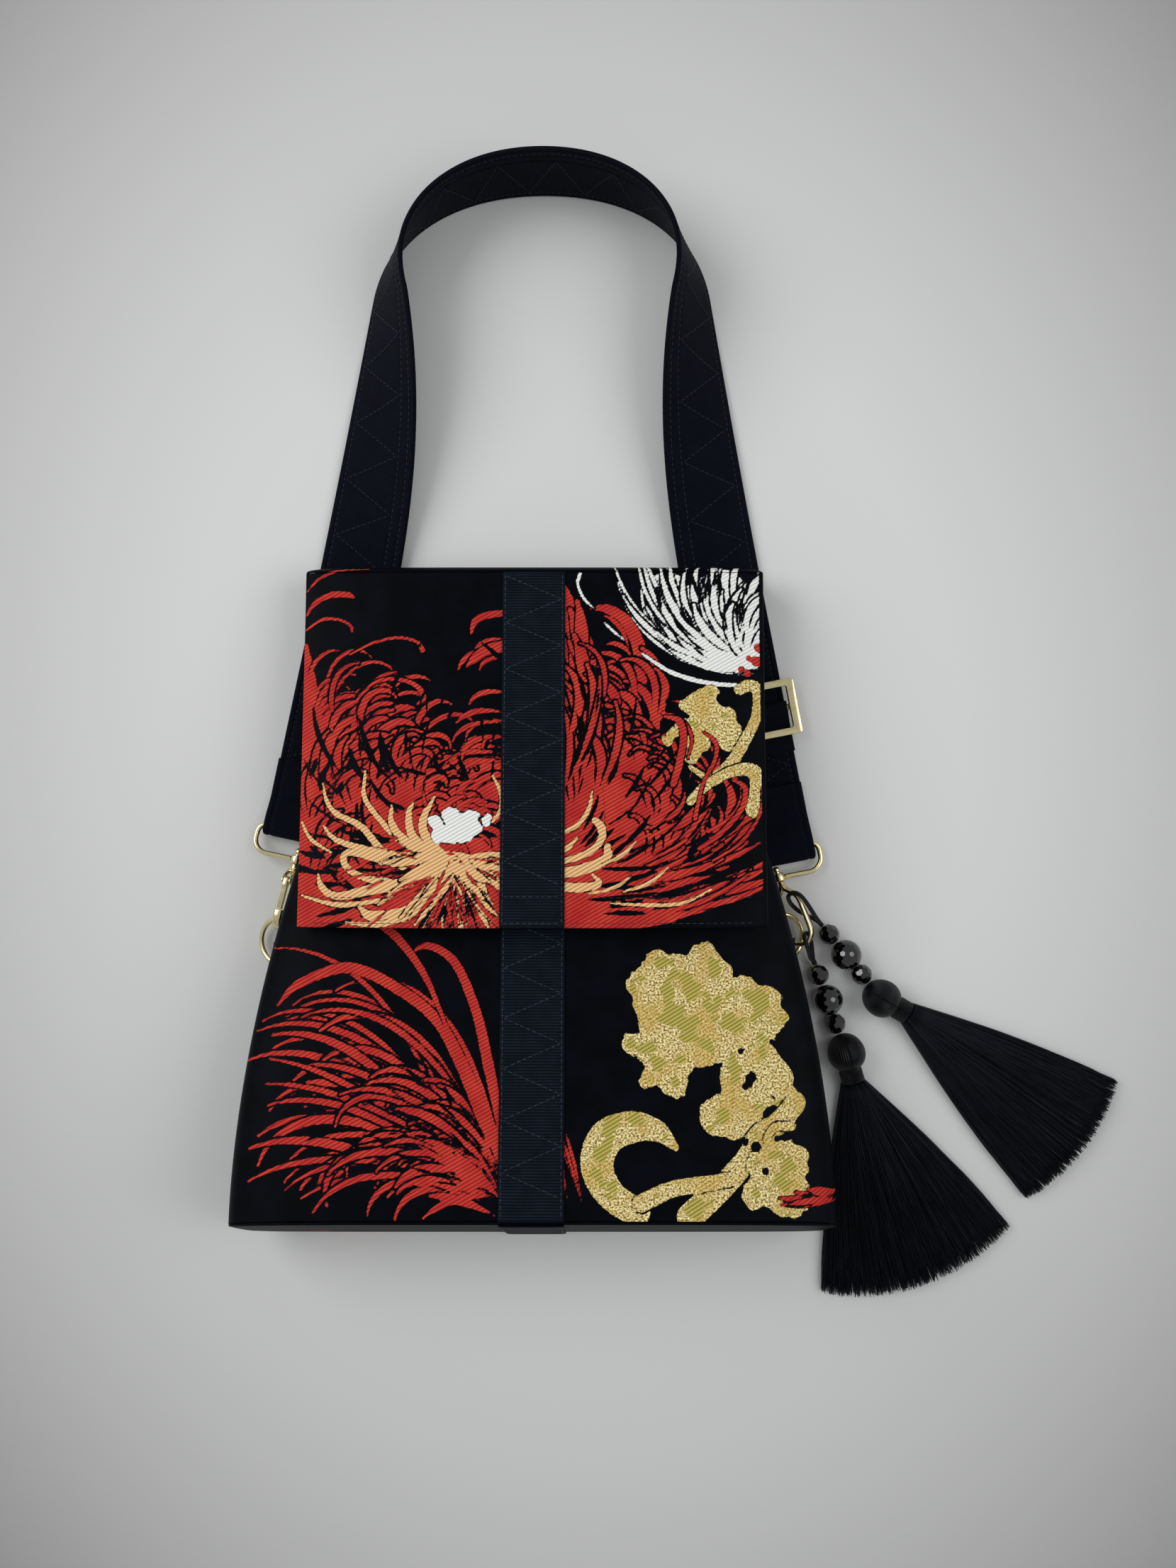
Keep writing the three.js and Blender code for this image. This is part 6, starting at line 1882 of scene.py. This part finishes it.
def slider_wrap():
    """The strap's sewn end: a hairpin of thin webbing round the middle bar."""
    reach = MIDDLE_BAR / 2 + CLEARANCE
    half = WRAP_WEBBING / 2
    low, over, flat = wrap_low + half, wrap_over_bar - half, wrap_flat - half
    turn = (over - low) / 2
    line = resampled(np.concatenate([
        [(WRAP_LENGTH, low), (8, low), (-reach + 1.2, low)],
        arc((-reach + 1.2, (low + over) / 2), (turn + 0.5, turn), 262, 98, 12),
        [(-reach + 1.2, over), (reach, over), (reach + 2.4, mix(over, flat, 0.55)), (reach + 5, flat),
         (WRAP_LENGTH, flat)],
    ]), 70)
    run = unit(np.gradient(line, axis=0))
    level = np.zeros(len(line))
    spine = np.column_stack([line[:, 0], level, line[:, 1]])
    up = np.column_stack([-run[:, 1], level, run[:, 0]])
    outline = oval(STRAP_WIDTH / 2, half, 60, 12.0)
    shell = tube(spine, np.broadcast_to([0, 1.0, 0], spine.shape), up, outline)
    laid = np.stack(np.broadcast_arrays(outline[None, :, 0] * 0.9, run_along(line)[:, None], 1.0), -1)
    put_piece("slider_wrap", [placed(shell, slider_frame)], strap_cloth, "slider", cloth=laid)


slider_wrap()

# Magnetic snap in the flap's mouth: two buttons
button = turned([(-0.75, 0.01), (-0.75, 7.6), (-0.45, 8), (0.45, 8), (0.75, 7.6), (0.75, 0.01)], 40)
flap_rise = float(flap_under(0.0, FLAP_END_Y) - flap_under(0.0, FLAP_START_Y))
flap_slope = math.atan2(flap_rise, FLAP_START_Y - FLAP_END_Y)
for name, sign in (("snap_upper", 1), ("snap_lower", -1)):
    normal = np.array([0, math.sin(flap_slope), math.cos(flap_slope)]) * sign
    put_piece(name, [placed(button, frame_at(node_middle(name), normal, X_AXIS))], nickel, "flap")


# Charms

BEAD_SMALL = 5.2
BEAD_LARGE = 7.6
HEAD_RADIUS = 9.5
NECK_RADIUS = 5.8
FAN_HEIGHT = 6.0
FAN_SWELL = 2.5  # how far the fan's sides bow outwards
GROUND_GAP = 0.2
HEADS = {"a": ((154.1, -73.3), 161, 164), "b": ((171.6, -46.3), 141, 121)}  # place, heading, neck's heading


def heading_vector(heading):
    """A level direction; the heading is clockwise from +Y."""
    return np.array([math.sin(math.radians(heading)), math.cos(math.radians(heading)), 0.0])


def bead_shell(radius, centre, turn):
    """A faceted bead, turned by an angle: a facet of five or six sides round each corner of an icosphere."""
    ball = bmesh.new()
    bmesh.ops.create_icosphere(ball, subdivisions=3 if radius == BEAD_LARGE else 2, radius=1.0)
    triangles, points = [], []
    for corner in ball.verts:
        spokes = [face.calc_center_median().normalized() for face in corner.link_faces]
        side = corner.co.orthogonal().normalized()
        other = corner.co.cross(side)
        spokes.sort(key=lambda spoke: math.atan2(spoke.dot(other), spoke.dot(side)))
        spokes = [np.array(spoke) for spoke in spokes]
        start = len(points)
        points += [*spokes, np.mean(spokes, 0)]
        triangles.append(cap_faces(np.arange(start, start + len(spokes)), start + len(spokes)))
    ball.free()
    points = np.array(points) * radius
    c, s = math.cos(turn), math.sin(turn)
    spun = points @ np.array([[c, s, 0], [-s, c, 0], [0, 0, 1]])
    return turned_out(spun + centre, np.concatenate(triangles))


def wound(profile, origin, along, sides=72):
    """A turned body of wound thread, with its cloth laid round it: across is the turn and along the axis."""
    profile = np.asarray(profile, float)
    shell = turned(profile, sides)
    angle = np.arange(sides) / sides * 2 * math.pi
    laid = np.stack(np.broadcast_arrays(angle[None, :] * 9.0, profile[:, :1]), -1)
    return placed(shell, frame_at(origin, along, Z_AXIS)), laid


def head_shell(middle, along):
    """The ball head: a bulb that narrows to the neck, with the threads' grooves running from pole to pole."""
    place = np.linspace(0, math.pi, 40)
    x = -HEAD_RADIUS * np.cos(place)
    radius = HEAD_RADIUS * np.sin(place) ** 0.92 * (1 - 0.06 * np.cos(place - 0.6) ** 2)
    return wound(np.stack([x, np.maximum(radius, 0.02)], -1), middle, along)


def neck_shell(middle, along):
    """The neck: turns of thread side by side, as waves of the radius."""
    x = np.linspace(-NECK_LENGTH / 2, NECK_LENGTH / 2, 73)
    radius = NECK_RADIUS - 0.22 + 0.2 * np.abs(np.sin(math.pi * x / 0.75))
    radius[[0, -1]] = NECK_RADIUS - 1.2
    return wound(np.stack([x, radius], -1), middle, along)


def fan_place(charm, start, neck_across, swing, v, height):
    """A place in the tassel's fan, by shares of its spread, length and height.

    It starts as wide as the neck; the solid's sides cross there.
    """
    flat = np.radians(charm["fan_heading"] + swing * charm["fan_spread"])
    width = 2 * swing * (NECK_RADIUS * 0.95 * (1 - v) + FAN_SWELL * np.sin(math.pi * v))
    crown = np.sqrt(np.clip(1 - (1.9 * swing) ** 2, 0, 1))
    full = mix(NECK_RADIUS * 1.7, FAN_HEIGHT, np.sqrt(v)) * mix(0.25, 1, crown)
    x = start[0] + neck_across[0] * width + charm["fan_length"] * v * np.sin(flat)
    y = start[1] + neck_across[1] * width + charm["fan_length"] * v * np.cos(flat)
    return np.stack(np.broadcast_arrays(x, y, GROUND_GAP + 0.3 + (full - 0.4) * height), -1)


STRANDS = 1500
STATIONS = 16  # along each strand
LOCKS = 26


def skirt_shells(charm, start, neck_across, seed):
    """The tassel's skirt: strands of floss over a dark inner fan.

    Each strand keeps its share of the spread, sways by two sines, and leans to the lock it lies in, more so
    towards its end. Strands end between 93 and 100 parts in 100 of the length.
    """
    draw = np.random.default_rng(seed).uniform

    def each(low, high):
        """A value between low and high for each strand."""
        return draw(low, high, (STRANDS, 1))

    def waves(low, high):
        """A sine along each strand, with its own count of turns between low and high."""
        return np.sin(2 * math.pi * (v * each(low, high) + each(0, 1)))

    v = np.linspace(0, 1, STATIONS)[None, :]
    swing = np.sort(draw(-0.485, 0.485, STRANDS))[:, None]
    height = each(0, 1) ** 0.7
    end = 1 - each(0, 0.07) ** 1.2
    lock = (np.floor((swing + 0.5) * LOCKS) + 0.5) / LOCKS - 0.5
    gathered = swing + (lock - swing) * 0.35 * v**1.5 * each(0.3, 1)
    sway = waves(0.6, 1.6) * 0.008
    sway += waves(2, 4) * 0.002
    swing = np.clip(gathered + sway * v, -0.495, 0.495)
    level = np.clip(height + 0.12 * np.sin(2 * math.pi * (v * 1.5 + each(0, 1))) * v, 0, 1)
    lines = fan_place(charm, start, neck_across, swing, v * end, level)
    run = unit(np.gradient(lines, axis=1))
    side = unit(np.cross(run, Z_AXIS))
    up = np.cross(side, run)
    thick = draw(0.2, 0.3, (STRANDS, 1, 1)) * mix(1.0, 0.7, v[..., None])
    corners = [math.pi * share / 6 for share in (3, 7, 11)]
    rings = [lines + side * thick * math.cos(a) + up * thick * math.sin(a) for a in corners]
    points = np.stack(rings, 2).reshape(-1, 3)
    size = 3 * STATIONS
    faces = in_each(grid_faces(STATIONS, 3, ring_columns=True), size, STRANDS)
    caps = in_each(np.array([[2, 1, 0], [size - 3, size - 2, size - 1]]), size, STRANDS)
    across = draw(0, 60, (STRANDS, 1, 1))
    laid = np.stack(np.broadcast_arrays(across, v[..., None] * 12, np.zeros((1, 1, 3))), -1)[..., :2]
    length_line, swing_line = np.linspace(0, 0.93, 24)[:, None], np.linspace(-0.48, 0.48, 41)[None, :]
    top = fan_place(charm, start, neck_across, swing_line, length_line, 0.55)
    low = top.copy()
    low[..., 2] = GROUND_GAP
    return [turned_out(points, faces, caps), double_sheet(top, low)], laid


def cord_shell(line, radius):
    """A round cord along a line in space; its frame is carried along it without twisting."""
    line = np.asarray(line, float)
    run = unit(np.gradient(line, axis=0))
    across = np.empty_like(run)
    across[0] = unit(np.cross(run[0], Z_AXIS))
    for k in range(1, len(line)):
        across[k] = unit(across[k - 1] - run[k] * np.dot(across[k - 1], run[k]))
    return tube(line, across, np.cross(run, across), oval(radius, radius, CORD_SIDES))


CORD_SIDES = 12

for letter, charm in CHARMS.items():
    head, heading, neck_heading = HEADS[letter]
    body = f"charm_{letter}"
    back = -heading_vector(heading)
    ball_middle = np.array([*head, HEAD_RADIUS])
    middle, radius = ball_middle, HEAD_RADIUS
    for number, size in ((3, BEAD_SMALL), (2, BEAD_LARGE), (1, BEAD_SMALL)):
        middle = middle + back * math.sqrt((size + radius + CLEARANCE) ** 2 - (size - radius) ** 2)
        middle[2] = size
        radius = size
        bead = bead_shell(size, middle, 0.4 * number)
        put_piece(f"bead_{letter}{number}", [bead], black_glass, body, flat=True)
    along = heading_vector(neck_heading)
    shell, laid = head_shell(ball_middle, along)
    put_piece(f"head_{letter}", [shell], wound_floss, body, cloth=laid)
    neck_middle = np.array([*head, NECK_RADIUS]) + along * (HEAD_RADIUS + CLEARANCE + NECK_LENGTH / 2)
    shell, laid = neck_shell(neck_middle, along)
    put_piece(f"neck_{letter}", [shell], wound_floss, body, cloth=laid)
    start = neck_middle + along * (NECK_LENGTH / 2 + CLEARANCE)
    neck_across = np.array([along[1], -along[0], 0])
    shells, laid = skirt_shells(charm, start, neck_across, 40 + ord(letter))
    put_piece(f"skirt_{letter}", shells, floss, body, cloth=laid)
    route = resampled(curve_through(charm["route"], 8), 120)
    turn, run = np.arange(CORD_SIDES) / CORD_SIDES * 2.4, run_along(route)
    laid = np.stack(np.broadcast_arrays(turn[None, :] * 3 + run[:, None] * 0.9, run[:, None]), -1)
    cord = put_piece(f"cord_{letter}", [cord_shell(route, CORD / 2)], satin_cord, body, cloth=laid)


# Table, lights and background


TABLE_HALF = 2500.0
LIGHT_SIZE = 1.1
TABLE_FALLOFF = (0.30, 0.40)  # metres from the picture's middle, over which the painted shade darkens the table


def stage_floor():
    """A plain grey table whose colour darkens towards the picture's corners: painted shade where the light
    falls off.
    """
    table = Finish("table_top", Roughness=0.75, Specular_IOR_Level=0.2)
    parts = table.parts(table.add("TexCoord", {}, "Object"))
    away = [table.math("DIVIDE", table.math("SUBTRACT", parts[k], CAMERA_PLACE[k] * MM), reach)
            for k, reach in enumerate(TABLE_FALLOFF)]
    away = table.math("ADD", *[table.times(part, part) for part in away])
    table.coat(Base_Color=table.blend(table.span(away, 0.4, 2.2), "#D6D7D6", "#8F8F8E"))
    corners = [(-TABLE_HALF, -TABLE_HALF), (TABLE_HALF, -TABLE_HALF), (TABLE_HALF, TABLE_HALF),
               (-TABLE_HALF, TABLE_HALF)]
    points = np.array([(x, y, -0.05) for x, y in corners])
    floor = put_mesh("table", [(points, np.array([[0, 1, 2, 3]]))], table.material)


stage_floor()


def soft_light(name, place, power):
    """A square soft light that looks towards the bag."""
    data = bpy.data.lights.new(name, "AREA")
    data.shape = "RECTANGLE"
    data.size = data.size_y = LIGHT_SIZE
    data.energy = power
    light = bpy.data.objects.new(name, data)
    light.location = place
    light.rotation_euler = (-Vector(place)).to_track_quat("-Z", "Y").to_euler()
    bpy.context.scene.collection.objects.link(light)


soft_light("window_left", (-1.1, 0.6, 1.0), 14.0)
soft_light("window_right", (1.1, 0.1, 1.1), 8.0)

world = bpy.data.worlds.new("room")
bpy.context.scene.world = world
world.use_nodes = True
sky = world.node_tree.nodes["Background"].inputs
sky["Color"].default_value = linear("#E8E9EA")
sky["Strength"].default_value = 0.5
